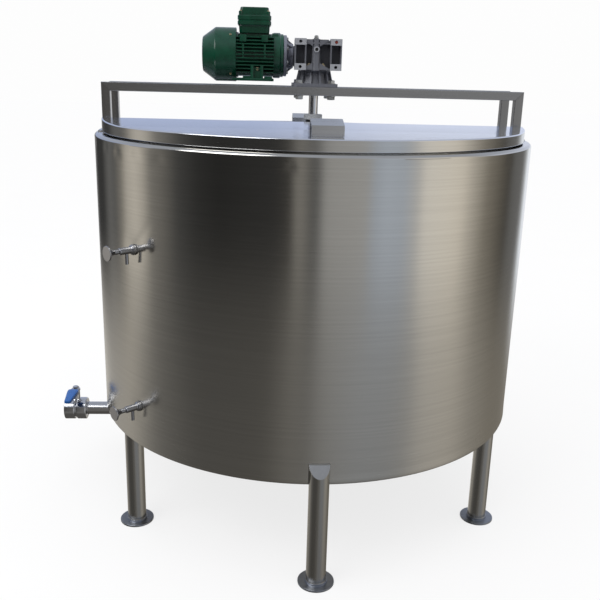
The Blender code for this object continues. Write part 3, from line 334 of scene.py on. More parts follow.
class Sheet:
    """The node tree of a finish or of the world."""
    def __init__(self, owner):
        owner.use_nodes = True
        self.tree = owner.node_tree
        self.tree.nodes.clear()

    def node(self, kind, settings=None, sockets=None, out=0):
        """Any node: its settings first, then its sockets' values or links; gives the output asked for."""
        made = self.tree.nodes.new(kind)
        for name, value in (settings or {}).items():
            if name == "stops":
                self.fill_ramp(made.color_ramp, value)
            else:
                setattr(made, name, value)
        for name, value in (sockets or {}).items():
            if isinstance(value, Reading):
                self.tree.links.new(value.socket, made.inputs[name])
            else:
                made.inputs[name].default_value = value
        return Reading(self, made.outputs[out]) if made.outputs else None

    @staticmethod
    def fill_ramp(ramp, stops):
        while len(ramp.elements) < len(stops):
            ramp.elements.new(0.5)
        for element, (place, colour) in zip(ramp.elements, stops):
            element.position = place
            element.color = colour if len(colour) == 4 else (*colour, 1)

    def mix(self, factor, one, other):
        one, other = (c if isinstance(c, Reading) or len(c) == 4 else (*c, 1) for c in (one, other))
        return self.node("ShaderNodeMix", {"data_type": "RGBA"}, {0: factor, 6: one, 7: other}, 2)

    def noise(self, where, scale, detail=2.0, rough=0.5):
        return self.node("ShaderNodeTexNoise", {}, {"Vector": where, "Scale": scale, "Detail": detail,
                                                    "Roughness": rough})

    def stretched(self, where, factors):
        return self.node("ShaderNodeVectorMath", {"operation": "MULTIPLY"}, {0: where, 1: factors})

    def place(self):
        """Where on the piece, in metres, in the model's own axes."""
        return self.node("ShaderNodeTexCoord", out=3)

    def parts(self, vector):
        split = self.node("ShaderNodeSeparateXYZ", {}, {0: vector})
        return [Reading(self, output) for output in split.socket.node.outputs]

    def round_place(self, where, centre):
        """Arc length about an upright axis from the front, distance from it, and height."""
        x, y, z = self.parts(where)
        x, y = x - centre.x, y - centre.y
        turn = x.math("ARCTAN2", x, 0 - y)
        out = (x * x + y * y) ** 0.5
        return self.node("ShaderNodeCombineXYZ", {}, {0: turn * SHELL_RADIUS, 1: out, 2: z})

    def bump(self, height, strength, distance):
        return self.node("ShaderNodeBump", {}, {"Height": height, "Strength": strength, "Distance": distance})


def finish(name, colour, roughness, normal=None, **constants):
    """The surface node of a finish; constants are set on the shader's own sockets."""
    sheet = colour.sheet
    sockets = {"Base Color": colour, "Roughness": roughness}
    if normal is not None:
        sockets["Normal"] = normal
    sockets |= {key.replace("_", " "): value for key, value in constants.items()}
    shader = sheet.node("ShaderNodeBsdfPrincipled", {}, sockets)
    sheet.node("ShaderNodeOutputMaterial", {}, {"Surface": shader})
    return bpy.data.materials[name]


def new_sheet(name):
    return Sheet(bpy.data.materials.new(name))


def ground_steel(name, tone, rough, grain, lines=0.10, cloud=0.06, centre=None, depth=0.00006, dusty=None):
    """Ground stainless sheet.  grain is the scratches' pitch per metre along each axis, few where
    they run; with a centre the axes are arc length, radius and height."""
    sheet = new_sheet(name)
    where = sheet.place()
    run = sheet.round_place(where, centre) if centre else where
    scratches = sheet.noise(sheet.stretched(run, grain), 1.0, 4.0, 0.65)
    bands = sheet.noise(sheet.stretched(run, [pitch * 0.11 for pitch in grain]), 1.0, 2.0)
    clouds = sheet.noise(where, 2.6, 3.0)
    dark = [channel * (1 - lines) for channel in tone]
    light = [min(1.0, channel * (1 + lines)) for channel in tone]
    colour = sheet.mix((scratches + bands) * 0.9 - 0.4, dark, light)
    roughness = rough + (scratches - 0.5) * 0.14 + (clouds - 0.5) * cloud
    if dusty:
        height = sheet.parts(where)[2]
        low, high, more = dusty
        roughness = roughness + (1 - height.above((low + high) / 2, high - low)) * more
    normal = sheet.bump(scratches + clouds * 0.6, 0.35, depth)
    return finish(name, colour, roughness, normal, Metallic=1.0)


def smooth_steel(name, tone, rough, smear=0.05):
    """Turned and polished stainless steel with faint handling marks."""
    sheet = new_sheet(name)
    where = sheet.place()
    marks = sheet.noise(where, 60.0, 4.0, 0.6)
    turned = sheet.noise(where, 900.0, 1.0)
    colour = sheet.mix(marks, [c * 0.90 for c in tone], tone)
    roughness = rough + (marks - 0.5) * smear * 2 + (turned - 0.5) * smear
    return finish(name, colour, roughness, sheet.bump(turned, 0.15, 0.00004), Metallic=1.0)


def gloss_paint(name, tone, shade, rough, coat):
    """Enamel over castings: orange peel, darker patches, a little dust on upward faces."""
    sheet = new_sheet(name)
    where = sheet.place()
    peel = sheet.noise(where, 420.0, 2.0)
    patches = sheet.noise(where, 26.0, 4.0, 0.6)
    geometry = sheet.node("ShaderNodeNewGeometry", out=1)
    facing_up = sheet.parts(geometry)[2].above(0.85, 0.3)
    colour = sheet.mix(patches.above(0.55, 0.4), shade, tone)
    colour = sheet.mix(facing_up * patches * 0.05, colour, (0.16, 0.22, 0.18))
    roughness = rough + (patches - 0.5) * 0.16 + facing_up * 0.10
    normal = sheet.bump(peel + patches * 2.0, 0.30, 0.0002)
    return finish(name, colour, roughness, normal, Coat_Weight=coat, Coat_Roughness=0.10,
                  Specular_IOR_Level=0.35)


def cast_metal(name, tone, rough, grit=0.0005, metal=0.35, spots=(0.10, 0.10, 0.11)):
    """Painted sand casting: pitted, darker in the pits."""
    sheet = new_sheet(name)
    where = sheet.place()
    pits = sheet.noise(where, 700.0, 3.0, 0.7)
    lumps = sheet.noise(where, 90.0, 3.0)
    colour = sheet.mix(pits.above(0.50, 0.5), spots, tone)
    roughness = rough + (pits - 0.5) * 0.25
    return finish(name, colour, roughness, sheet.bump(pits + lumps, 0.5, grit), Metallic=metal)


def moulded(name, tone, rough, texture=500.0, metal=0.0):
    """Moulded plastic or rubber with a fine grain."""
    sheet = new_sheet(name)
    where = sheet.place()
    grain = sheet.noise(where, texture, 2.0)
    wear = sheet.noise(where, 40.0, 4.0, 0.6)
    colour = sheet.mix(wear, [c * 0.82 for c in tone], [min(1, c * 1.18 + 0.004) for c in tone])
    roughness = rough + (wear - 0.5) * 0.18 + (grain - 0.5) * 0.08
    return finish(name, colour, roughness, sheet.bump(grain, 0.25, 0.0002), Metallic=metal)


WALL = ground_steel("wall_steel", (0.62, 0.605, 0.565), 0.125, (14, 14, 1500), centre=TANK, cloud=0.06,
                    dusty=(SHELL_BOTTOM, RIM, 0.12))
# The lid leaves' steel, lighter and bluer than the same steel on the wall and skirts: the steel's own tone
# with a painted sky reflection.
LID_PAINTED_SKY = ground_steel("lid_steel_painted_sky", (0.86, 0.88, 0.93), 0.16, (12, 1300, 1300), lines=0.04)
SKIRT = ground_steel("skirt_steel", (0.62, 0.61, 0.58), 0.18, (14, 14, 1400), centre=TANK)
PROFILE_X = ground_steel("beam_steel", (0.40, 0.40, 0.40), 0.24, (10, 1500, 1500), lines=0.12)
PROFILE_Z = ground_steel("post_steel", (0.36, 0.355, 0.35), 0.22, (1500, 1500, 10), lines=0.12)
LEG = ground_steel("leg_steel", (0.48, 0.47, 0.445), 0.24, (900, 900, 8), lines=0.10)
FOOT = ground_steel("foot_steel", (0.36, 0.38, 0.42), 0.34, (90, 900, 300), lines=0.14, cloud=0.16)
INSIDE = ground_steel("vessel_steel", (0.70, 0.70, 0.69), 0.24, (14, 14, 900), centre=TANK, lines=0.05)
PLATE = ground_steel("plate_steel", (0.62, 0.62, 0.62), 0.28, (12, 1200, 1200), lines=0.08)
HANDLE = ground_steel("handle_steel", (0.60, 0.61, 0.63), 0.20, (10, 1300, 1300), lines=0.08)
BRIGHT = smooth_steel("polished_steel", (0.72, 0.73, 0.76), 0.14)
TUBE_STEEL = smooth_steel("tube_steel", (0.66, 0.66, 0.67), 0.20)
COCK_STEEL = smooth_steel("cock_steel", (0.46, 0.46, 0.48), 0.20, 0.06)
SATIN = smooth_steel("satin_steel", (0.60, 0.61, 0.63), 0.30, 0.10)
ZINC = smooth_steel("zinc_plate", (0.52, 0.52, 0.50), 0.34, 0.12)
WELD = smooth_steel("weld_steel", (0.50, 0.49, 0.47), 0.36, 0.16)
GREEN = gloss_paint("green_enamel", (0.002, 0.074, 0.036), (0.001, 0.050, 0.024), 0.28, 0.5)
GREY = cast_metal("grey_casting", (0.215, 0.220, 0.245), 0.42, spots=(0.15, 0.155, 0.175))
ADAPTER = cast_metal("adapter_casting", (0.27, 0.28, 0.33), 0.36, spots=(0.20, 0.21, 0.25))
# A darker copy of the grey casting, for the gearbox's recessed face and drum: painted shade.
PAINTED_SHADE_GREY = cast_metal("casting_painted_shade", (0.070, 0.072, 0.082), 0.55, spots=(0.04, 0.04, 0.045))
BARE = cast_metal("machined_pad", (0.62, 0.63, 0.66), 0.42, 0.00006, 0.55, (0.48, 0.49, 0.52))
SHADOW = moulded("painted_shadow_black", (0.004, 0.004, 0.004), 0.7)
BLUE = moulded("blue_vinyl", (0.018, 0.120, 0.420), 0.30, 300.0)
RUBBER = moulded("black_rubber", (0.018, 0.018, 0.019), 0.55)
NYLON = moulded("white_nylon", (0.62, 0.64, 0.66), 0.38)
BRASS = smooth_steel("yellow_zinc", (0.62, 0.52, 0.33), 0.30, 0.12)
RED_CAP = moulded("red_cap", (0.32, 0.05, 0.03), 0.45)
FOAM = moulded("rigid_foam", (0.72, 0.60, 0.34), 0.9, 250.0)
LAMINATED = ground_steel("laminations", (0.30, 0.28, 0.26), 0.45, (2000, 30, 30), lines=0.3)
BRONZE = smooth_steel("wheel_bronze", (0.62, 0.42, 0.20), 0.32, 0.1)


# ---------------------------------------------------------------- pieces
def piece(name, shape, surface, body="tank", stands_for=(), sharp=32):
    """A finished mesh that rides on a body, and stands for the nodes whose shape it refines."""
    bmesh.ops.recalc_face_normals(shape, faces=shape.faces)
    mesh = bpy.data.meshes.new(name)
    shape.to_mesh(mesh)
    shape.free()
    mesh.shade_smooth()
    mesh.set_sharp_from_angle(angle=math.radians(sharp))
    mesh.materials.append(surface)
    thing = bpy.data.objects.new(name, mesh)
    bpy.context.scene.collection.objects.link(thing)
    even = thing.modifiers.new("even", "WEIGHTED_NORMAL")       # flats stay flat beside their rounded edges
    even.keep_sharp, even.weight = True, 100
    thing.data = bpy.data.meshes.new_from_object(thing.evaluated_get(bpy.context.evaluated_depsgraph_get()))
    thing.data.name = name
    thing.modifiers.clear()
    bpy.data.meshes.remove(mesh)
    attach(thing, body)
    if stands_for:
        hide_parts(*stands_for)
    return thing


# Jacket ----------------------------------------------------------
COCK_TURN = math.radians(221.0)
COCK_LEVELS = [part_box(f"{place}_cock_knob")[0].z + 0.020 for place in ("upper", "lower")]
# Shallow puckers under the rim where the hem was shrunk: (degrees about the tank, below the rim, depth)
PUCKERS = [(196, 0.020, 0.0007), (202, 0.028, 0.0012), (208.5, 0.024, 0.0009), (215, 0.030, 0.0011),
           (223, 0.027, 0.0010), (231, 0.032, 0.0007), (262, 0.030, 0.0004), (318, 0.026, 0.0005)]


def wall_depth(turn, z):
    """How far the wall lies inside its true round."""
    depth = 0.00022 * (2 + math.sin(5 * turn + 7 * z) + math.sin(11 * turn - 5 * z + 1.3))
    for degrees, drop, deep in PUCKERS:
        across = SHELL_RADIUS * math.remainder(turn - math.radians(degrees), math.tau)
        below = z - (RIM - drop)
        slant = below + 0.35 * abs(across)
        depth += deep * math.exp(-(across / 0.017) ** 2 - (slant / 0.011) ** 2)
    for level in COCK_LEVELS:
        across = SHELL_RADIUS * math.remainder(turn - COCK_TURN, math.tau)
        up = z - level
        depth += 0.0016 * math.exp(-(across ** 2 + up ** 2) / 0.035 ** 2)
        along, off = (across + up) * math.sqrt(0.5), (across - up) * math.sqrt(0.5)
        if along > 0:
            depth += 0.0010 * math.exp(-(off / 0.011) ** 2) * math.exp(-(along / 0.075) ** 2)
    return depth


def jacket():
    wall_top = RIM - RIM_ROUND
    middle = SHELL_RADIUS - RIM_ROUND
    rows = 96
    wall = [(SHELL_RADIUS, SHELL_BOTTOM + 0.003 + (wall_top - SHELL_BOTTOM - 0.003) * k / rows)
            for k in range(rows + 1)]
    hem = [(SHELL_RADIUS - SKIN, SHELL_BOTTOM), (SHELL_RADIUS - 0.001, SHELL_BOTTOM + 0.0005)]
    rolled = [(middle + RIM_ROUND * math.cos(t), wall_top + RIM_ROUND * math.sin(t))
              for t in (math.radians(90) * k / 8 for k in range(1, 9))]
    ledge = softened([rolled[-1], (SEAT_RADIUS, RIM), (SEAT_RADIUS, SEAT_Z), (LIP_RADIUS, SEAT_Z),
                      (LIP_RADIUS, LIP_FOOT), (LIP_RADIUS + SKIN, LIP_FOOT)], 0.0015, 3)[1:]
    under = [(LIP_RADIUS + SKIN, SEAT_Z - SKIN), (SEAT_RADIUS + SKIN, SEAT_Z - SKIN),
             (SEAT_RADIUS + SKIN, RIM - SKIN), (middle, RIM - SKIN), (SHELL_RADIUS - SKIN, wall_top)]
    shape = lathe([*hem, *wall, *rolled, *ledge, *under], 512)
    for vert in shape.verts:
        radius = math.hypot(vert.co.x, vert.co.y)
        if radius > SHELL_RADIUS - 0.0005 and vert.co.z < wall_top + 0.001:
            turn = math.atan2(vert.co.y, vert.co.x)
            fade = min(1.0, (vert.co.z - SHELL_BOTTOM) / 0.03)
            vert.co.xy *= 1 - wall_depth(turn, vert.co.z) * fade / SHELL_RADIUS
    piece("jacket", about_tank(shape), WALL, stands_for=["outer_shell"])

    seam = [(0, SHELL_RADIUS - 0.0012, z) for z in (SHELL_BOTTOM + 0.004, wall_top)]
    piece("jacket_seam", about_tank(bead(seam, 0.0015)), WELD)


def vessel():
    bore, pipe = 0.019, 0.021
    inner, outer, skin = 0.590, 0.594, 0.004
    edge, floor_middle = SHELL_BOTTOM + 0.055, SHELL_BOTTOM + 0.035
    spigot = SHELL_BOTTOM - 0.006
    inside = softened([(inner, SEAT_Z), (inner, edge), (bore, floor_middle), (bore, spigot)], 0.022, 6)
    outside = [(pipe, spigot), (pipe, floor_middle - skin), (outer, edge - skin), (outer, SEAT_Z)]
    piece("vessel", about_tank(lathe([*outside, *inside], 192)), INSIDE,
          stands_for=["inner_vessel"])
    seam = [(*point, edge + 0.004) for point in circle(inner - 0.0006, 180)]
    piece("floor_weld", about_tank(bead(seam, 0.0014, True, 0.012)), WELD)


# Legs and feet ---------------------------------------------------
LEG_RADIUS = 0.027
LEG_TURNS = [-90, -33, 33, 90, 147, -147]
LEG_INSET = 0.030
FOOT_PLATE, FOOT_RING = 0.006, 0.005
WELD_PROUD = 0.0008


def leg(number, degrees):
    """A round tube: let into the wall and cut off aslant at the front and back, under the floor elsewhere."""
    on_wall = abs(degrees) == 90
    reach = SHELL_RADIUS if on_wall else SHELL_RADIUS - LEG_INSET
    foot_top = FOOT_PLATE + FOOT_RING
    cap, slope = SHELL_BOTTOM + 0.059, 1.10
    top = cap + 0.030 if on_wall else SHELL_BOTTOM - AIR
    column = placed(disc(LEG_RADIUS, foot_top, top, 72), (reach, 0, 0))
    if on_wall:
        clear = 2 * LEG_RADIUS
        wall = disc(SHELL_RADIUS + AIR, SHELL_BOTTOM - AIR, RIM, 256)
        above = prism([(reach - clear, cap + clear * slope), (reach + clear, cap - clear * slope),
                       (reach + clear, RIM), (reach - clear, RIM)], -clear, clear, "Y")
        column = cast(column, cut=[wall, above], bevel=0.0012)
        side = LEG_RADIUS * 0.999
        near = math.sqrt(SHELL_RADIUS ** 2 - side ** 2) + WELD_PROUD
        up = [(near, side, SHELL_BOTTOM + 0.002), (near, side, cap)]
        down = [(x, -y, z) for x, y, z in reversed(up)]
        proud = SHELL_RADIUS + WELD_PROUD
        swing = [math.asin(side / SHELL_RADIUS) * (1 - k / 8) for k in range(17)]
        over = [(proud * math.cos(a), proud * math.sin(a), cap - (proud * math.cos(a) - reach) * slope)
                for a in swing]
        welds = [bead(up), bead(down), bead(over)]
    else:
        seam = [(reach + x, y, SHELL_BOTTOM - 0.001) for x, y in circle(LEG_RADIUS, 40)]
        welds = [bead(seam, 0.0014, True)]
    piece(f"leg_tube_{number}", about_tank(column, degrees), LEG, stands_for=[f"leg_{number}"])

    plate = solid([(0.0475, 0), (0.049, 0.0006), (0.049, FOOT_PLATE), (0.030, FOOT_PLATE), (0.030, foot_top),
                   (0.026, foot_top)], 96, 0.0012)
    piece(f"foot_plate_{number}", about_tank(placed(plate, (reach, 0, 0)), degrees), FOOT,
          stands_for=[f"foot_{number}"])
    fillet = [(reach + x, y, foot_top + 0.0006) for x, y in circle(LEG_RADIUS + 0.0006, 48)]
    piece(f"leg_welds_{number}", about_tank(joined(bead(fillet, 0.0013, True), *welds), degrees), WELD)


# Bridge and portal frames ----------------------------------------
def bridge():
    radius = SHELL_RADIUS - RIM_ROUND
    reach = math.degrees(math.asin(DECK_HALF / radius))
    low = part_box("bridge_deck")[0].z
    outline = arc(radius, -reach, reach, 10) + arc(radius, 180 - reach, 180 + reach, 10)
    hole = disc(0.018, low - 0.01, DECK_TOP + 0.01, 40)
    deck = cast(prism(outline, low, DECK_TOP), cut=[hole], bevel=0.0007)
    piece("deck_plate", about_tank(deck), PLATE, stands_for=["bridge_deck"])

    gland_low, gland_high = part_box("shaft_gland")
    height = gland_high.z - gland_low.z
    bore, rim, waist = SHAFT_RADIUS + AIR, 0.0225, 0.0195
    profile = softened([(bore, 0), (rim, 0), (rim, 0.010), (waist, 0.012), (waist, 0.020), (rim, 0.022),
                        (rim, height), (bore, height)], 0.001, 2)
    piece("gland_sleeve", placed(lathe(profile, 64), TANK + UP * gland_low.z), RUBBER,
          stands_for=["shaft_gland"])
    flange = hollow(band(rim + 0.0001, 0.034, 0, 0.004), 64, 0.0008, 2)
    heads = [placed(hexagon(0.0045, 0.003, 0.0005), (x, y, 0.004)) for x, y in circle(0.0285, 6)]
    piece("gland_flange", placed(joined(flange, *heads), TANK + UP * DECK_TOP), SATIN)


def square_ring(half, corner=0.0018):
    return softened([(-half, -half), (half, -half), (half, half), (-half, half)], corner, 4, True)


def portals():
    half = TUBE / 2
    level = BEAM_TOP - half
    section = square_ring(half)
    for side in ("front", "rear"):
        low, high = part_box(f"{side}_beam")
        frame_y = low.y + half
        left, right = low.x + half, high.x - half
        loops = [[(left + b, frame_y + a, level - b) for a, b in section],
                 [(right - b, frame_y + a, level - b) for a, b in section]]
        piece(f"{side}_beam_tube", skinned(loops), PROFILE_X, stands_for=[f"{side}_beam"])
        for end, sign in (("left", -1), ("right", 1)):
            node = f"{side}_{end}_post"
            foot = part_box(node)[0]
            post_x = foot.x + half
            loops = [[(post_x + a, frame_y + b, foot.z) for a, b in section],
                     [(post_x + a, frame_y + b, level + sign * a - AIR) for a, b in section]]
            piece(f"{node}_tube", skinned(loops), PROFILE_Z, stands_for=[node])
            seam = [(post_x + a * 1.02, frame_y + b * 1.02, foot.z + 0.0004) for a, b in section]
            piece(f"{node}_weld", bead(seam, 0.0016, True), WELD)


# Lid leaves ------------------------------------------------------
FRONT_RADIUS, FRONT_EDGE, CREASE = 0.628, -0.0975, -0.320
SKIRT_FOOT, FLAT_TOP, EDGE_TOP = RIM + 0.0045, RIM + 0.0335, RIM + 0.0410
LEAF_SKIN = 0.0025
LEAF_ROUND = 0.0035
SIDE_STEPS = 14
COAMING = (0.5998, 0.6028)
FRONT_AXIS_Y, REAR_AXIS_Y = -0.0922, 0.102
HINGE_HALF, BARREL, ROD = 0.320, 0.005, 0.003


def leaf_loop(inset, drop, level=None):
    """The front leaf's outline, inset from its edge, on its top less drop or at one level."""
    radius, edge = FRONT_RADIUS - inset, FRONT_EDGE - inset
    corner, fold = (math.degrees(math.asin(y / radius)) for y in (edge, CREASE))
    side = arc(radius, corner, fold, SIDE_STEPS)
    outline = side + arc(radius, fold, -180 - fold, 110)[1:-1] + [(-x, y) for x, y in reversed(side)]

    def top(y):
        return FLAT_TOP + (EDGE_TOP - FLAT_TOP) * max(0.0, (y - CREASE) / (FRONT_EDGE - CREASE))
    return [(x, y, level if level is not None else top(y) - drop) for x, y in outline]


def leaf_cap(shape, ring):
    """Two flat fields, in front of the crease and behind it."""
    last = len(ring) - 1
    shape.faces.new(ring[SIDE_STEPS:last - SIDE_STEPS + 1])
    shape.faces.new(ring[:SIDE_STEPS + 1] + ring[last - SIDE_STEPS:])


def front_leaf():
    loops = [leaf_loop(LEAF_SKIN, LEAF_SKIN), leaf_loop(LEAF_SKIN, 0, SKIRT_FOOT),
             leaf_loop(0.0004, 0, SKIRT_FOOT), leaf_loop(0, 0, SKIRT_FOOT + 0.001)]
    for k in range(7):
        t = math.radians(90) * k / 6
        loops.append(leaf_loop(LEAF_ROUND * (1 - math.cos(t)), LEAF_ROUND * (1 - math.sin(t))))
    shape = bmesh.new()
    rings = [[shape.verts.new(point) for point in loop] for loop in loops]
    for ring, after in zip(rings, rings[1:]):
        for i in range(len(ring)):
            j = (i + 1) % len(ring)
            shape.faces.new((ring[i], ring[j], after[j], after[i]))
    leaf_cap(shape, rings[0])
    leaf_cap(shape, rings[-1])
    leaf = piece("front_leaf_sheet", about_tank(shape), LID_PAINTED_SKY, "front_leaf", ["front_lid"], 40)
    # Upright faces take the plain skirt steel, upward faces the lighter, bluish lid steel with its painted
    # sky reflection.
    leaf.data.materials.append(SKIRT)
    for face in leaf.data.polygons:
        if abs(face.normal.z) < 0.35:
            face.material_index = 1

    low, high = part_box("lid_coaming")
    inner, outer = COAMING
    start = math.degrees(math.asin(-high.y / inner))
    outline = arc(inner, -start, start - 180, 120) + arc(outer, start - 180, -start, 120)
    piece("coaming_band", about_tank(prism(outline, low.z, high.z, "Z", 0.0006)), INSIDE,
          stands_for=["lid_coaming"])


def rear_leaf():
    low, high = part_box("rear_lid")
    edge, top = REAR_AXIS_Y, high.z
    radius = math.hypot((high.x - low.x) / 2, edge)
    corner = math.degrees(math.asin(edge / radius))
    sheet = prism(arc(radius, corner, 180 - corner, 140), top - 0.003, top, "Z", 0.0009)
    fold = slab((-0.540, edge + 0.001, top - 0.020), (0.540, edge + 0.004, top - 0.002), 0.0008)
    piece("rear_leaf_sheet", about_tank(joined(sheet, fold)), LID_PAINTED_SKY, "rear_leaf", ["rear_lid"])
    gutters = [slab((middle - 0.135, DECK_HALF + AIR, DECK_TOP - 0.0132),
                    (middle + 0.135, DECK_HALF + 0.0058, DECK_TOP - 0.006), 0.0008)
               for middle in (-0.463, 0.463)]
    piece("rear_gutters", about_tank(joined(*gutters)), PLATE)


def handle(side, body):
    """A folded sheet, open at both ends."""
    low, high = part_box(f"{side}_handle")
    sheet = 0.003
    depth, front, rise = high.y - low.y, 0.0265, high.z - low.z
    slope = (rise - front) / depth
    outline = [(0, 0), (0, front), (depth, rise), (depth, 0), (depth - sheet, 0),
               (depth - sheet, front - sheet + slope * (depth - sheet)),
               (sheet, front - sheet + slope * sheet), (sheet, 0)]
    shape = prism([(low.y + y, low.z + z) for y, z in outline], low.x, high.x, "X", 0.0009, 3)
    piece(f"{side}_handle_sheet", shape, HANDLE, body, [f"{side}_handle"])
    welds = [bead([(low.x + 0.004, y, low.z + 0.0006), (high.x - 0.004, y, low.z + 0.0006)], 0.0012)
             for y in (low.y - 0.0004, high.y + 0.0004)]
    piece(f"{side}_handle_weld", joined(*welds), WELD, body)


def hinge(side, body, axis_y, axis_z, strip, lug):
    """A knuckled barrel with a strip on the leaf, and its rod in two lugs on the deck."""
    at = Vector((TANK.x, axis_y, axis_z))
    profile = [(ROD + AIR, -HINGE_HALF), (BARREL, -HINGE_HALF)]
    for k in range(1, 8):
        x = -HINGE_HALF + 2 * HINGE_HALF * k / 8
        profile += [(BARREL, x - 0.0006), (BARREL - 0.0007, x), (BARREL, x + 0.0006)]
    profile += [(BARREL, HINGE_HALF), (ROD + AIR, HINGE_HALF)]
    knuckles = placed(lathe(profile, 24), at, ACROSS)
    (low_y, low_z), (high_y, high_z) = strip
    bar = slab((TANK.x - HINGE_HALF + 0.002, axis_y + low_y, axis_z + low_z),
               (TANK.x + HINGE_HALF - 0.002, axis_y + high_y, axis_z + high_z), 0.0006)
    piece(f"{side}_hinge_barrel", joined(knuckles, bar), PLATE, body, [f"{side}_hinge_leaf"])

    low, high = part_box(f"{side}_hinge_rod")
    length = (high.x - low.x) / 2
    steel = placed(solid([(ROD * 0.6, -length), (ROD, -length + 0.001), (ROD, length - 0.001),
                          (ROD * 0.6, length)], 24, 0.0005), at, ACROSS)
    outline = [(axis_y + y, axis_z + z) for y, z in softened(lug, 0.0016, 3, True)]
    lugs = []
    for sign in (-1, 1):
        near, far = sorted((TANK.x + sign * (HINGE_HALF + 0.001), TANK.x + sign * (HINGE_HALF + 0.005)))
        lugs.append(prism(outline, near, far, "X", 0.0004))
    piece(f"{side}_hinge_pin", joined(steel, *lugs), BRIGHT, "tank", [f"{side}_hinge_rod"])


def hinges():
    eye = BARREL - 0.0004
    front_z = RIM + 0.034
    foot = DECK_TOP + AIR - front_z
    hinge("front", "front_leaf", FRONT_AXIS_Y, front_z, ((-0.005, -0.022), (-0.0025, -0.0036)),
          [(-eye, foot), (0.009, foot), (0.009, 0), (eye, eye), (-eye, eye)])
    rear_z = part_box("rear_lid")[1].z + AIR + BARREL
    near = DECK_HALF + AIR - REAR_AXIS_Y
    far = near - 0.015
    on_deck = DECK_TOP + AIR - rear_z
    hinge("rear", "rear_leaf", REAR_AXIS_Y, rear_z, ((0.0036, -0.005), (0.024, -0.0025)),
          [(near, -eye), (eye, -eye), (eye, on_deck + 0.004), (far, on_deck + 0.004), (far, on_deck),
           (near, on_deck)])


# Agitator --------------------------------------------------------
def agitator():
    low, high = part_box("agitator_shaft")
    tip = SHAFT_RADIUS - 0.002
    shaft = solid([(tip, low.z), (SHAFT_RADIUS, low.z + 0.002), (SHAFT_RADIUS, high.z - 0.002),
                   (tip, high.z)], 64, 0.001)
    piece("stirrer_shaft", placed(shaft, TANK), BRIGHT, "agitator", ["agitator_shaft"])

    bore = SHAFT_RADIUS + AIR
    low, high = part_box("slinger_collar")
    collar = hollow(band(bore, 0.028, low.z, high.z), 72, 0.0022, 4)
    piece("collar_ring", placed(collar, TANK), NYLON, "agitator", ["slinger_collar"])

    hub_foot, hub_length = 0.397, 0.070
    hub = hollow(band(bore, 0.026, hub_foot, hub_foot + hub_length), 56, 0.003)
    pitch = Matrix.Rotation(math.radians(20), 4, "X")
    lift = Matrix.Translation((0, 0, hub_foot + hub_length / 2))
    blades = []
    for quarter in range(4):
        blade = slab((0.0235, -0.0025, -0.0275), (0.400, 0.0025, 0.0275), 0.0011)
        blade.transform(lift @ Matrix.Rotation(math.radians(90 * quarter + 11), 4, "Z") @ pitch)
        blades.append(blade)
    piece("stirrer_blades", placed(joined(hub, *blades), TANK), PLATE, "agitator",
          ["agitator_blades"])


# Gearbox ---------------------------------------------------------
MOTOR_AXIS = Vector((0, 0.049, BEAM_TOP + 0.087))
BOLT_X, BOLT_Y = 0.047, 0.067


def on_motor(shape, x, turn=0.0):
    """A shape made about Z, laid on the motor's axis."""
    return placed(shape, (x, MOTOR_AXIS.y, MOTOR_AXIS.z), ACROSS, turn)


def gearbox_pedestal():
    """A webbed drum on a square plate, and the four bolts that hold it between the beams."""
    low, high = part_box("gearbox_pedestal")
    plate_top = low.z + 0.009
    plate = prism(oblong((high.x - low.x) / 2, (high.y - low.y) / 2, 0.014, 6), low.z, plate_top)
    drum = solid([(0.050, plate_top - 0.003), (0.046, plate_top + 0.010), (0.043, high.z - 0.008),
                  (0.050, high.z)], 72)
    webs = []
    for turn in around(12, 0.5):
        web = prism([(0.020, plate_top - 0.002), (0.060, plate_top - 0.002), (0.056, plate_top + 0.006),
                     (0.049, high.z - 0.001), (0.020, high.z - 0.001)], -0.0032, 0.0032, "Y")
        web.transform(Matrix.Rotation(turn, 4, "Z"))
        webs.append(web)
    bore = disc(SHAFT_RADIUS + AIR, low.z - 0.01, high.z + 0.01)
    seats = [placed(disc(0.0132, plate_top, high.z + 0.02, 28), (x, y, 0))
             for x in (-BOLT_X, BOLT_X) for y in (-BOLT_Y, BOLT_Y)]
    shape = cast(plate, add=[drum, *webs], cut=[bore, *seats], bevel=0.0010)
    piece("pedestal_casting", placed(shape, TANK), GREY, "tank", ["gearbox_pedestal"])

    beam_foot = BEAM_TOP - TUBE
    length = plate_top + 0.0110 - beam_foot
    for number, (x, y) in enumerate(((-1, -1), (1, -1), (1, 1), (-1, 1)), 1):
        at = TANK + Vector((x * BOLT_X, y * BOLT_Y, 0))
        nut = placed(hexagon(0.0112, 0.0085, 0.0014), at + UP * (plate_top + 0.0018), UP, 0.2 * number)
        head = placed(hexagon(0.0112, 0.0095, 0.0014), at + UP * (beam_foot - 0.0019), -UP, 0.3 * number)
        rings = [placed(washer(0.006, 0.0125, 0.0015), at + UP * (plate_top + 0.0002)),
                 placed(washer(0.006, 0.0125, 0.0015), at + UP * (beam_foot - 0.0002), -UP)]
        stud = placed(solid([(0.005, 0), (0.005, length - 0.001), (0.004, length)], 24), at + UP * beam_foot)
        piece(f"frame_bolt_{number}", joined(nut, head, *rings, stud), ZINC, "tank",
              [f"gearbox_bolt_{number}"])


def pad(at_x, at_z, wide, high, hole, face_y, depth):
    """A square machined boss with a threaded hole, facing the front."""
    chamfer = 0.0006
    loops = []
    for inward, outside in ((depth, True), (chamfer, True), (0, True), (0, False), (chamfer, False),
                            (depth * 0.9, False)):
        trim = 0 if inward else chamfer
        loop = []
        for turn in around(32, 0.5):
            c, s = math.cos(turn), math.sin(turn)
            reach = min((wide / 2 - trim) / abs(c), (high / 2 - trim) / abs(s)) if outside else hole + trim
            loop.append((at_x + reach * c, face_y + inward, at_z + reach * s))
        loops.append(loop)
    return skinned(loops)


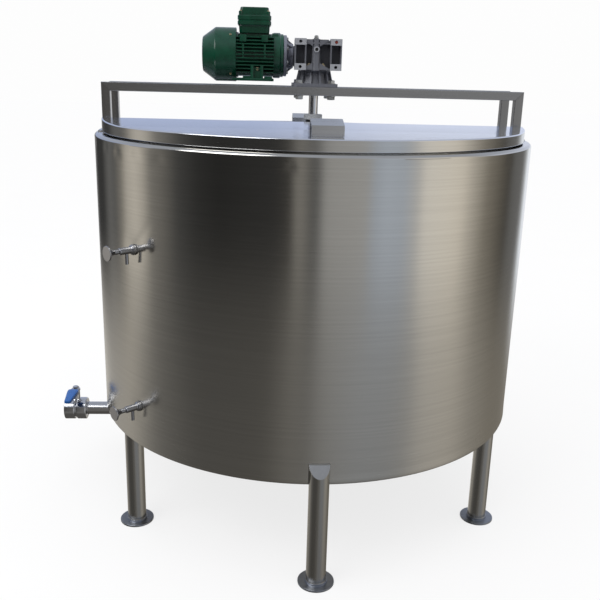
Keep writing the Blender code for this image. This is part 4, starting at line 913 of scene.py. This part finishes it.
def gearbox():
    """A casting with a ribbed, recessed front, four machined pads, and the worm's tube across its back."""
    low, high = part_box("gearbox_housing")
    front, left, right = low.y, low.x, high.x
    width, centre_x, body_front = right - left, TANK.x, front + 0.016
    wall, pad_wide, pad_high, hole = 0.0042, 0.034, 0.0185, 0.0046
    core = slab((left + 0.004, body_front + 0.010, low.z + 0.003),
                (right - 0.004, high.y - 0.012, high.z - 0.004), 0.006, 3)
    core = cast(core, cut=[placed(disc(0.0150, low.z - 0.01, high.z - 0.012), TANK)])
    recess = slab((left + 0.005, body_front + 0.009, low.z + 0.009),
                  (right - 0.005, body_front + 0.0104, high.z - 0.009), 0.0004)
    drum = placed(solid([(0.038, 0), (0.038, 0.040), (0.026, 0.056), (0.016, 0.058)], 72, 0.006, 5),
                  (centre_x, front + 0.082, MOTOR_AXIS.z), -BACK)
    worm_tube = on_motor(solid([(0.030, 0), (0.030, width - 0.006), (0.024, width - 0.001)], 56, 0.003),
                         left + 0.001)
    ribs = [slab((x, front + 0.001, low.z + 0.004), (x + wall, body_front + 0.020, high.z - 0.003), 0.0011)
            for x in (left, left + pad_wide - wall, right - pad_wide, right - wall)]
    ribs += [slab((left + 0.002, front + 0.004, z), (right - 0.002, body_front + 0.020, z + 0.0055), 0.0011)
             for z in (low.z + 0.001, high.z - 0.0165)]
    for side in (-1, 1):
        near, far = centre_x + side * 0.010, centre_x + side * 0.036
        for end, upward in ((low.z, -1), (high.z, 1)):
            ribs.append(prism([(near, end - upward * 0.022), (far, end - upward * 0.007),
                               (far, end - upward * 0.003), (near, end - upward * 0.003)],
                              front + 0.003, body_front + 0.016, "Y"))
    post = placed(solid([(0.0150, low.z), (0.0125, low.z + 0.030), (0.0120, high.z - 0.002)], 36),
                  (centre_x, front + 0.0155, 0))
    boss = placed(solid([(0.0095, 0), (0.0095, 0.012), (0.0082, 0.013)], 40, 0.001),
                  (centre_x + 0.001, front + 0.014, high.z - 0.031), -BACK)
    back_plate = slab((left + 0.008, high.y - 0.016, low.z + 0.006),
                      (right - 0.008, high.y, high.z - 0.006), 0.003)
    neck = placed(lathe([(0.0150, low.z), (0.048, low.z), (0.046, low.z + 0.014), (0.0150, low.z + 0.014)],
                        64), TANK)
    end_cap = on_motor(solid([(0.026, 0), (0.026, 0.002), (0.022, 0.004)], 48, 0.001), right - 0.0042)
    # The recessed face and the drum inside it take the darker grey: painted shade in the recess.
    piece("gear_recess", joined(recess, drum), PAINTED_SHADE_GREY, "tank")
    piece("gear_casting", joined(core, worm_tube, *ribs, post, boss, back_plate, neck, end_cap), GREY, "tank",
          ["gearbox_housing"])

    corners = [(x, z) for x in (left + pad_wide / 2, right - pad_wide / 2)
               for z in (low.z + pad_high / 2 + 0.0005, high.z - pad_high / 2 - 0.0005)]
    pads = [pad(x, z, pad_wide, pad_high, hole, front, 0.022) for x, z in corners]
    plug_x, plug_z = corners.pop()
    # Near-black discs set inside the pads' threaded holes: painted shadow.
    bores = [placed(disc(hole, 0, 0.001, 28), (x, front + 0.012, z), -BACK) for x, z in corners]
    piece("machined_pads", joined(*pads), BARE, "tank")
    piece("pad_bores", joined(*bores), SHADOW, "tank")
    plug = placed(solid([(0.0044, 0), (0.0044, 0.004), (0.003, 0.005)], 28, 0.001),
                  (plug_x, front + 0.007, plug_z), -BACK)
    piece("pad_plug", plug, RED_CAP, "tank")

    face = Vector((centre_x + 0.001, front + 0.001, high.z - 0.031))
    rim = hollow(band(0.0048, 0.0080, 0, 0.0014), 40, 0.0004, 2)
    piece("level_ring", placed(rim, face, -BACK), BARE, "tank")
    piece("level_plug", placed(disc(0.0048, 0, 0.0006, 32), face, -BACK), SHADOW, "tank")
    cap = solid([(0.0058, 0), (0.0058, 0.005), (0.0035, 0.0065)], 32, 0.0012)
    breather = joined(placed(hexagon(0.0075, 0.004, 0.0008), (centre_x, front + 0.014, high.z - 0.002)),
                      placed(cap, (centre_x, front + 0.014, high.z + 0.002)))
    piece("breather", breather, ZINC, "tank")
    heads = [placed(screw(0.0036, 0.004), (centre_x + x, front + 0.010, low.z + z), -BACK)
             for x, z in ((-0.024, 0.012), (0.024, 0.012), (-0.020, 0.017), (0.021, 0.017))]
    heads += [placed(screw(0.003, 0.0016), (right - 0.0017, MOTOR_AXIS.y + y, MOTOR_AXIS.z + z), ACROSS)
              for y, z in circle(0.021, 4, 0.5)]
    heads += [placed(screw(0.0042, 0.0012), (centre_x + x, high.y - 0.0013, low.z + z), BACK)
              for x in (-0.034, 0.046) for z in (0.020, 0.070)]
    piece("cover_screws", joined(*heads), BRASS, "tank")


# Motor -----------------------------------------------------------
FRAME_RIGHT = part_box("motor_adapter")[0].x
COVER_LOW, COVER_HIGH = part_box("fan_cover")
FRAME_LEFT = COVER_HIGH.x + AIR
SHIELD_LEFT = FRAME_RIGHT - 0.031
FOOT_MIDDLE = SHIELD_LEFT - 0.0485
BOX_MIDDLE = FRAME_RIGHT - 0.088
COVER_RADIUS = 0.078


def fin_section():
    """The frame's section: level fins with rounded tips on both sides of a round root."""
    root, tip, pitch, half = 0.062, 0.074, 0.010, 0.0021
    side = []
    for number in range(-5, 6):
        z = number * pitch
        end = math.sqrt(tip ** 2 - z ** 2)
        low, high = z - half, z + half
        at_low, at_high = (math.sqrt(root ** 2 - level ** 2) for level in (low, high))
        side += [(at_low, low - 0.0003), (at_low + 0.0012, low), (end - 0.0016, low),
                 (end - 0.0004, low + 0.0007), (end, z), (end - 0.0004, high - 0.0007),
                 (end - 0.0016, high), (at_high + 0.0012, high), (at_high, high + 0.0003)]
    stop = math.degrees(math.atan2(side[-1][1], side[-1][0]))
    crown = arc(root, stop, 180 - stop, 20)[1:-1]
    return side + crown + [(-y, z) for y, z in reversed(side)] + [(-y, -z) for y, z in crown]


def motor_feet():
    """A rail on each side, carried by a pillar and two webs, with two bosses on it."""
    y, z = MOTOR_AXIS.y, MOTOR_AXIS.z
    rail, right = z - 0.075, SHIELD_LEFT + 0.002
    blocks = [(right - 0.125, right, 0.045, 0.075, rail, rail + 0.008, 0.0022),
              (FOOT_MIDDLE - 0.018, FOOT_MIDDLE + 0.018, 0.041, 0.058, rail + 0.004, z - 0.034, 0.0016)]
    webs, bosses = (0.0045, 0.041, 0.068, z - 0.030, 0.0016), (0.012, 0.046, 0.060, rail + 0.014, 0.0020)
    for (half, near, far, high, edge), offsets in ((webs, (-0.0145, 0.0145)), (bosses, (-0.030, 0.034))):
        blocks += [(FOOT_MIDDLE + at - half, FOOT_MIDDLE + at + half, near, far, rail + 0.004, high, edge)
                   for at in offsets]
    feet = []
    for side in (-1, 1):
        for start, stop, near, far, low, high, edge in blocks:
            near_y, far_y = sorted((y + side * near, y + side * far))
            feet.append(slab((start, near_y, low), (stop, far_y, high), edge, 3))
    return feet


def motor_frame():
    y, z = MOTOR_AXIS.y, MOTOR_AXIS.z
    fins = prism([(y + a, z + b) for a, b in fin_section()], FRAME_LEFT, SHIELD_LEFT + 0.001, "X")
    ring = on_motor(lathe(band(0.055, 0.0655, 0, 0.006), 72), FRAME_LEFT)
    shield = on_motor(hollow([(0.010, 0), (0.066, 0), (0.066, 0.020), (0.0625, 0.0225), (0.0625, 0.0305),
                              (0.010, 0.0305)], 72, 0.0018), SHIELD_LEFT)
    bars = [on_motor(slab((-0.0020, 0.060, 0.003), (0.0020, 0.0659, 0.0195), 0.0008), SHIELD_LEFT, turn)
            for turn in around(28, 0.5) if abs(math.sin(turn)) < 0.93]
    seat = slab((BOX_MIDDLE - 0.045, y - 0.030, z + 0.048), (BOX_MIDDLE + 0.045, y + 0.030, z + 0.0625),
                0.002)
    solids = [fins, ring, shield, *bars, seat, *motor_feet()]
    for at in (BOX_MIDDLE - 0.033, BOX_MIDDLE + 0.031):
        solids.append(slab((at - 0.010, y - 0.064, z + 0.036), (at + 0.010, y - 0.040, z + 0.0560), 0.0020))
        solids.append(slab((at - 0.003, y - 0.0715, z - 0.012), (at + 0.003, y - 0.060, z + 0.030), 0.0010))
    ear = on_motor(solid([(0.0075, 0), (0.0075, 0.018), (0.005, 0.020)], 32, 0.002), SHIELD_LEFT - 0.004)
    ear.transform(Matrix.Translation((0, -0.030, 0.0555)))
    piece("motor_casting", joined(*solids, ear), GREEN, "tank", ["motor_frame"])


def fan_cover():
    """A thin hood with a long chamfer and three rings of slots in its end."""
    end, chamfer, bore, skin = 0.050, 0.039, 0.012, 0.0025
    span, inside = COVER_HIGH.x - COVER_LOW.x, COVER_RADIUS - skin
    outer = softened([(COVER_RADIUS, span), (COVER_RADIUS, span - 0.004), (COVER_RADIUS, chamfer), (end, 0),
                      (bore, 0)], 0.003, 4)
    inner = [(bore, skin), (end - skin / 2, skin), (inside, chamfer + skin / 2), (inside, span)]
    slots = [on_motor(slab((-0.0019, reach - 0.0042, -0.01), (0.0019, reach + 0.0042, 0.01), 0.0017),
                      COVER_LOW.x, turn)
             for reach, count in ((0.041, 20), (0.030, 14), (0.019, 8)) for turn in around(count, 0.5)]
    cover = cast(on_motor(lathe([*outer, *inner], 96), COVER_LOW.x), cut=slots)
    piece("fan_cowl", cover, GREEN, "tank", ["fan_cover"], 38)


def motor_screws():
    screws = []
    for y, z in circle(1, 4, 0.5):
        out = Vector((0, y, z))
        at_cover = Vector((COVER_HIGH.x - 0.016, *MOTOR_AXIS.yz)) + out * (COVER_RADIUS - 0.0006)
        at_shield = Vector((FRAME_RIGHT - 0.004, *MOTOR_AXIS.yz)) + out * 0.052
        screws += [placed(screw(0.0036, 0.0026), at_cover, out),
                   placed(screw(0.0046, 0.004), at_shield, ACROSS)]
    earth = (FOOT_MIDDLE + 0.001, MOTOR_AXIS.y - 0.0575, MOTOR_AXIS.z - 0.040)
    screws.append(placed(hexagon(0.0058, 0.004, 0.0008), earth, -BACK))
    piece("motor_screws", joined(*screws), BRASS, "tank")


def motor_adapter():
    """The flange between motor and gearbox, webbed, with a ring of bolts."""
    flange = on_motor(hollow([(0.0098, 0), (0.060, 0), (0.060, 0.0095), (0.045, 0.0115), (0.039, 0.015),
                              (0.036, 0.021), (0.036, 0.0297), (0.0098, 0.0297)], 72, 0.002), FRAME_RIGHT)
    webs = [on_motor(prism([(0.030, 0.009), (0.050, 0.009), (0.036, 0.027), (0.030, 0.027)], -0.002, 0.002,
                           "Y"), FRAME_RIGHT, turn) for turn in around(8)]
    bolts = [placed(hexagon(0.0062, 0.005, 0.0009),
                    (FRAME_RIGHT + 0.0095, MOTOR_AXIS.y + y, MOTOR_AXIS.z + z), ACROSS, 0.4 * k)
             for k, (y, z) in enumerate(circle(0.051, 8, 0.5))]
    piece("adapter_casting", joined(flange, *webs), ADAPTER, "tank", ["motor_adapter"])
    piece("adapter_bolts", joined(*bolts), ZINC, "tank")


def box_ring(length, depth, level, corner=0.010):
    return [(BOX_MIDDLE + a, MOTOR_AXIS.y + b, level) for a, b in oblong(length / 2, depth, corner, 5)]


def terminal_box():
    """A tapered box with a grooved rim and two blanked cable holes, and a lid with four screws."""
    low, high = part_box("terminal_box")
    foot, rim, top, half = low.z, low.z + 0.021, high.z, (high.y - low.y) / 2
    body = skinned([box_ring(length, half - inset, level) for length, inset, level in
                    ((0.089, 0.008, foot), (0.090, 0.0075, foot + 0.004), (0.092, 0.006, rim - 0.003),
                     (0.096, 0.003, rim + 0.002))])
    belt = skinned([box_ring(length, half - inset, level) for length, inset, level in
                    ((0.097, 0.0015, rim), (0.100, 0, rim + 0.002), (0.100, 0, rim + 0.011),
                     (0.0965, 0.0018, rim + 0.0125), (0.0965, 0.0018, rim + 0.0145), (0.100, 0, rim + 0.016),
                     (0.100, 0, top - 0.002), (0.097, 0.0015, top))])
    blanks = [placed(solid([(0.011, 0), (0.011, 0.003), (0.0095, 0.0035), (0.0095, 0.0045)], 32),
                     (BOX_MIDDLE + offset, MOTOR_AXIS.y + half - 0.0045, rim + 0.014), BACK)
              for offset in (-0.020, 0.020)]
    piece("connection_box", joined(body, belt, *blanks), GREEN, "tank", ["terminal_box"])

    low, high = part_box("terminal_box_lid")
    half = (high.y - low.y) / 2
    lid = skinned([box_ring(length, half - inset, level, 0.011) for length, inset, level in
                   ((0.087, 0, low.z), (0.087, 0, low.z + 0.006), (0.085, 0.001, high.z - 0.005),
                    (0.0835, 0.002, high.z - 0.0015), (0.080, 0.004, high.z))])
    lip = skinned([box_ring(0.092, half + 0.004, low.z, 0.012),
                   box_ring(0.092, half + 0.004, low.z + 0.002, 0.012),
                   box_ring(0.088, half + 0.002, low.z + 0.0032, 0.012)])
    corners = [Vector((BOX_MIDDLE + x, MOTOR_AXIS.y + y, low.z))
               for x in (-0.0405, 0.0405) for y in (0.003 - half, half - 0.003)]
    ears = [placed(solid([(0.0062, 0), (0.0062, 0.010), (0.005, 0.011)], 28, 0.001), at) for at in corners]
    piece("box_lid_casting", joined(lid, lip, *ears), GREEN, "tank", ["terminal_box_lid"])
    heads = [placed(screw(0.0036, 0.003), at + UP * 0.011) for at in corners]
    piece("box_lid_screws", joined(*heads), BRASS, "tank")
    gasket = skinned([box_ring(0.094, half + 0.005, top + lift, 0.012) for lift in (-0.0004, 0.0006)])
    piece("box_gasket", gasket, RUBBER, "tank")


# Outlet and valve ------------------------------------------------
OUTLET_Z = SHELL_BOTTOM - 0.078
valve_low, valve_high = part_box("valve_body")
VALVE = Vector(((valve_low.x + valve_high.x) / 2, 0, OUTLET_Z))


def outlet():
    radius, wall = 0.021, 0.002
    start, end = SHELL_BOTTOM - 0.006 - AIR, valve_high.x + AIR - TANK.x

    def ring(x, z, level, upright, reach):
        return [(x + level * a, b, z + upright * a) for a, b in circle(reach, 64)]
    stations = [(0, start, 1, 0), (0, OUTLET_Z, 1, 1), (end, OUTLET_Z, 0, 1)]
    loops = [ring(*station, radius) for station in stations]
    loops += [ring(*station, radius - wall) for station in reversed(stations)]
    tube = about_tank(skinned(loops, True))
    piece("outlet_tube", tube, TUBE_STEEL, "tank", ["outlet_pipe"])
    beads = [ring(0, OUTLET_Z, 1, 1, radius), ring(end + 0.004, OUTLET_Z, 0, 1, radius + 0.0002),
             ring(0, SHELL_BOTTOM + 0.0012, 1, 0, radius + 0.0004)]
    piece("outlet_welds", about_tank(joined(*(bead(path, 0.0012, True) for path in beads))), WELD)


def on_outlet(shape, x, turn=0.0):
    return placed(shape, (x, 0, OUTLET_Z), ACROSS, turn)


def round_nut(start, stop, radius, bore):
    """A dairy union's round nut with slots for its hook spanner."""
    span = stop - start
    ring = on_outlet(hollow(band(bore, radius, 0, span), 96, 0.0035, 5), start)
    low, high = (-0.004, radius - 0.0035, span * 0.22), (0.004, radius + 0.01, span * 0.78)
    slots = [on_outlet(slab(low, high), start, turn) for turn in around(4, 0.5)]
    return cast(ring, cut=slots)


def valve():
    left, right = valve_low.x, valve_high.x
    nut, neck, bore, cavity = 0.036, 0.029, 0.0165, 0.0229
    near_nut = round_nut(right - 0.031, right, nut, bore + 0.004)
    far_nut = round_nut(left, left + 0.034, nut, bore + 0.006)
    body = on_outlet(hollow([(cavity, 0.030), (neck - 0.003, 0.030), (neck, 0.0315), (neck, 0.0395),
                             (neck - 0.003, 0.041), (cavity, 0.041)], 72), left)
    sleeve = on_outlet(lathe([(bore, 0.0006), (bore + 0.007, 0.0006), (bore + 0.007, 0.020),
                              (bore + 0.004, 0.0225), (bore, 0.0225)], 64), left)
    inner = on_outlet(lathe(band(bore, bore + 0.005, 0.052, 0.0705), 64), left)
    boss = placed(hollow([(0.0064, neck - 0.006), (0.016, neck - 0.006), (0.016, neck + 0.004),
                          (0.013, neck + 0.008), (0.013, 0.062), (0.0145, 0.064), (0.0145, 0.0695),
                          (0.0064, 0.0695)], 56), VALVE)
    piece("valve_casting", joined(near_nut, far_nut, body, sleeve, inner, boss), BRIGHT, "tank",
          ["valve_body"], 30)
    seat = on_outlet(lathe(band(bore + 0.0005, cavity - 0.001, 0.0228, 0.0258), 48), left)
    piece("valve_seat", seat, NYLON, "tank")

    drill = placed(disc(0.0145, -0.04, 0.04), along=BACK)
    ball = placed(cast(lathe(arc(0.022, -90, 90, 24), 56), cut=[drill]), VALVE)
    stem = placed(disc(0.0058, 0.018, 0.0745, 32), VALVE)
    stem_nut = placed(hexagon(0.0095, 0.0048, 0.0009), VALVE + UP * 0.0736)
    piece("ball_and_stem", joined(ball, stem, stem_nut), BRIGHT, "lever", ["valve_ball"])


def lever():
    """A flat strip under the stem's nut, with a dipped sleeve over its length."""
    x, low, half, thick = VALVE.x, VALVE.z + 0.0703, 0.010, 0.003
    outline = softened([(x - half, 0.008), (x - half * 0.7, 0.0135), (x + half * 0.7, 0.0135),
                        (x + half, 0.008), (x + half, -0.112), (x - half, -0.112)], 0.003, 4, True)
    piece("lever_strip", prism(outline, low, low + thick, "Z", 0.0006), BRIGHT, "lever",
          ["valve_lever"])
    rings = []
    for y, wide, high in ((-0.0282, 0.0125, 0.0060), (-0.0295, 0.0155, 0.0078), (-0.034, 0.0178, 0.0088),
                          (-0.044, 0.0180, 0.0090), (-0.060, 0.0165, 0.0084), (-0.085, 0.0135, 0.0072),
                          (-0.108, 0.0112, 0.0060), (-0.1155, 0.0104, 0.0054), (-0.1188, 0.0088, 0.0044),
                          (-0.1198, 0.0060, 0.0028)):
        rings.append([(x + a, y, low + thick / 2 + b) for a, b in oblong(wide, high, high * 0.9, 5)])
    piece("grip_sleeve", skinned(rings), BLUE, "lever", ["lever_grip"], 50)


# Sampling cocks --------------------------------------------------
def cocks():
    """Each a turned body let into the wall, with a spout under it and a round knob."""
    out = Vector((math.cos(COCK_TURN), math.sin(COCK_TURN), 0))
    let_in = 0.0015
    knob, edge, reach = 0.020, 0.0036, 0.078 + let_in
    for place, level in zip(("upper", "lower"), COCK_LEVELS):
        wall = TANK + out * (SHELL_RADIUS - let_in) + UP * level
        body = lathe([(0, -0.002), *softened([(0.013, -0.002), (0.013, 0.005 + let_in),
                                              (0.0105, 0.0065 + let_in), (0.0092, 0.008 + let_in),
                                              (0.0092, 0.040 + let_in), (0.008, 0.042 + let_in),
                                              (0.0048, 0.042 + let_in)], 0.0008), (0, 0.0415 + let_in)], 56)
        spout = cast(solid([(0.0047, -0.036), (0.0047, -0.002)], 32, 0.0005),
                     cut=[disc(0.0034, -0.040, -0.010, 24)])
        shape = joined(placed(body, wall, out), placed(spout, wall + out * (0.019 + let_in)))
        piece(f"{place}_cock_casting", shape, COCK_STEEL, "tank", [f"{place}_cock_body"])
        seam = [wall + out * (0.0004 + let_in) + out.cross(UP) * a + UP * b for a, b in circle(0.0134, 40)]
        piece(f"{place}_cock_weld", bead(seam, 0.0013, True), WELD)

        profile = softened([(0.0045, 0.030), (0.0045, 0.0425 + let_in), (0.0065, 0.0432 + let_in),
                            (0.0065, 0.056 + let_in), (0.0088, 0.063 + let_in),
                            (0.0175, reach - edge - 0.0015), (knob, reach - edge), (knob, reach), (0, reach)],
                           0.0011, 4)
        piece(f"{place}_cock_wheel", placed(lathe([(0, 0.030), *profile], 72), wall, out), COCK_STEEL,
              f"{place}_knob", [f"{place}_cock_knob"])


jacket()
vessel()
for number, degrees in enumerate(LEG_TURNS, 1):
    leg(number, degrees)
bridge()
portals()
front_leaf()
rear_leaf()
handle("front", "front_leaf")
handle("rear", "rear_leaf")
hinges()
agitator()
gearbox_pedestal()
gearbox()
motor_frame()
fan_cover()
motor_screws()
motor_adapter()
terminal_box()
outlet()
valve()
lever()
cocks()
for node, surface in (("shell_bottom", PLATE), ("insulation", FOAM), ("worm_wheel", BRONZE),
                      ("stator", LAMINATED), ("rotor_and_worm", SATIN), ("motor_fan", RUBBER)):
    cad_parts[node].material_slots[0].material = surface

# ---------------------------------------------------------------- floor, light and camera
floor_sheet = new_sheet("pale_floor")
speckle = floor_sheet.noise(floor_sheet.place(), 3.0, 2.0)
pale = floor_sheet.mix(speckle, (0.88, 0.88, 0.88), (0.92, 0.92, 0.92))
matt = floor_sheet.node("ShaderNodeBsdfDiffuse", {}, {"Color": pale})
glow = floor_sheet.node("ShaderNodeEmission", {}, {"Color": (1, 1, 1, 1), "Strength": 1.0})
blend = floor_sheet.node("ShaderNodeMixShader", {}, {0: 0.22, 1: glow, 2: matt})
floor_sheet.node("ShaderNodeOutputMaterial", {}, {"Surface": blend})
floor_mesh = bpy.data.meshes.new("floor")
reach = 30.0
floor_mesh.from_pydata([(-reach, -reach, 0), (reach, -reach, 0), (reach, reach, 0), (-reach, reach, 0)], [],
                       [(0, 1, 2, 3)])
floor_mesh.materials.append(bpy.data.materials["pale_floor"])
floor = bpy.data.objects.new("floor", floor_mesh)
bpy.context.scene.collection.objects.link(floor)
floor.visible_glossy = False
floor.visible_diffuse = False

world = bpy.data.worlds.new("studio")
bpy.context.scene.world = world
studio = Sheet(world)
ray = studio.node("ShaderNodeLightPath")
seen, spread = (Reading(studio, ray.socket.node.outputs[name])
                for name in ("Is Camera Ray", "Is Diffuse Ray"))
east, north, rise = studio.parts(studio.node("ShaderNodeTexCoord", out=0))
heading = east.math("ARCTAN2", east, 0 - north) / math.tau + 0.5

CAMERA_TURN = math.radians(3.8)     # how far the tank is turned against the camera


# Soft boxes and dark curtains round the room, by degrees to the right of the camera: their brightness at
# the height of the rim, and how blue (below nought: how warm) they are
HIGH_ROOM = [(-180, 0.80, 0.0), (-158, 0.30, 0.0), (-151, 0.045, 0.0), (-137, 0.041, 0.0), (-127, 0.16, 0.0),
             (-119, 0.12, 0.0), (-112, 0.24, -0.6), (-107, 0.52, -0.6), (-100, 0.62, -0.6),
             (-94, 0.50, -0.6), (-88, 0.23, -0.4), (-80, 0.17, -0.4), (-70, 0.07, 0.0), (-58, 0.037, 0.0),
             (-46, 0.026, 0.0), (-18, 0.036, 0.0), (-10, 0.05, -0.4), (-7, 0.27, -0.4), (-3, 0.21, -0.4),
             (0, 0.12, 0.0), (3, 0.115, 0.0), (7, 0.39, 0.0), (28, 0.43, 0.0)]
HIGH_ROOM_RIGHT = [(28, 0.43, 0.0), (32, 0.49, 1.0), (38, 0.56, 1.0), (47, 0.52, 1.0), (54, 0.57, 0.0),
                   (58, 0.80, -0.4), (72, 0.80, -0.6), (80, 0.75, -0.7), (87, 0.52, -0.7), (99, 0.24, -0.9),
                   (112, 0.125, -0.9), (119, 0.08, -0.6), (126, 0.15, 0.0), (138, 0.17, 0.0),
                   (144, 0.48, 0.3), (149, 0.97, 0.5), (180, 0.80, 0.0)]
# The same lower down, where the pale floor opens at the sides
LOW_ROOM = [(-180, 1.0, -0.3), (-160, 0.85, -0.4), (-145, 0.52, -0.4), (-133, 0.40, -0.4),
            (-110, 0.44, -0.6), (-98, 0.28, -0.4), (-86, 0.17, -0.3), (-60, 0.095, -0.3), (-20, 0.10, -0.4),
            (-6, 0.20, -0.4), (2, 0.14, -0.2), (8, 0.28, -0.1), (28, 0.33, 0.4), (44, 0.31, 0.3),
            (56, 0.32, 0.0), (64, 0.46, -0.4), (86, 0.47, -0.6), (100, 0.31, -0.6), (120, 0.22, -0.9),
            (140, 0.20, -0.9), (156, 0.26, -0.9), (172, 0.40, -0.6), (180, 1.0, -0.3)]


def room(boxes):
    """A ring of soft light, from a list of boxes."""
    turn = math.degrees(CAMERA_TURN)
    ring = [(min(max((degrees - turn) / 360 + 0.5, 0.0), 1.0),
             (level * (1 - 0.10 * blue), level, level * (1 + 0.16 * blue))) for degrees, level, blue in boxes]
    return studio.node("ShaderNodeValToRGB", {"stops": ring}, {0: heading})


high_room = studio.mix(heading.above(28 / 360 + 0.5 - CAMERA_TURN / math.tau, 0.002), room(HIGH_ROOM),
                       room(HIGH_ROOM_RIGHT))
walls = studio.mix(1 - rise.above(-0.28, 0.20), high_room, room(LOW_ROOM))
far_side = north.above(0.0, 0.7)
sky = studio.mix(east.above(0.09, 0.24), (0.41, 0.475, 0.66), (0.68, 0.73, 0.87))
sky = studio.mix(rise.above(0.30, 0.45), sky, (0.46, 0.50, 0.60))
mirrored = studio.mix(far_side * rise.above(0.035, 0.05), walls, sky)
mirrored = studio.mix(rise.above(0.55, 0.5), mirrored, (0.42, 0.45, 0.52))
mirrored = studio.mix(1 - rise.above(-0.62, 0.4), mirrored, (0.10, 0.094, 0.085))
soft = studio.mix(rise.above(0.45, 1.0), (0.07, 0.07, 0.07), (1.35, 1.35, 1.38))
colour = studio.mix(spread, mirrored, soft)
colour = studio.mix(seen, colour, (0.985, 0.985, 0.985))
lit = studio.node("ShaderNodeBackground", {}, {"Color": colour, "Strength": 1.0})
studio.node("ShaderNodeOutputWorld", {}, {"Surface": lit})

key = bpy.data.lights.new("key", "AREA")
key.shape, key.size, key.size_y = "RECTANGLE", 3.0, 2.0
key.energy = 60.0
key_lamp = bpy.data.objects.new("key", key)
bpy.context.scene.collection.objects.link(key_lamp)
key_lamp.location = (-2.6, -2.2, 3.6)
key_lamp.rotation_euler = (TANK + UP * 1.0 - key_lamp.location).to_track_quat("-Z", "Y").to_euler()

CAMERA_REACH, CAMERA_HEIGHT = 2.441, 1.307
TILT, YAW, ROLL = math.radians(16.24), math.radians(-0.585), math.radians(1.5)
SENSOR = 36
FOCAL = 1.296 * SENSOR              # a little long: 1.3 picture widths
turn_back = Matrix.Rotation(-CAMERA_TURN, 3, "Z")
forward = turn_back @ Vector((math.sin(YAW) * math.cos(TILT), math.cos(YAW) * math.cos(TILT),
                              -math.sin(TILT)))
level_right = turn_back @ Vector((math.cos(YAW), -math.sin(YAW), 0))
level_up = level_right.cross(forward)
right = level_right * math.cos(ROLL) + level_up * math.sin(ROLL)
upward = level_up * math.cos(ROLL) - level_right * math.sin(ROLL)
camera = bpy.data.cameras.new("camera")
camera.sensor_width, camera.lens = SENSOR, FOCAL
camera.clip_end = 200
viewer = bpy.data.objects.new("camera", camera)
bpy.context.scene.collection.objects.link(viewer)
stand = TANK + turn_back @ Vector((0, -CAMERA_REACH, CAMERA_HEIGHT))
axes = Matrix((right, upward, -forward)).transposed()
viewer.matrix_world = Matrix.Translation(stand) @ axes.to_4x4()
bpy.context.scene.camera = viewer
bpy.context.scene.view_settings.view_transform = "Standard"
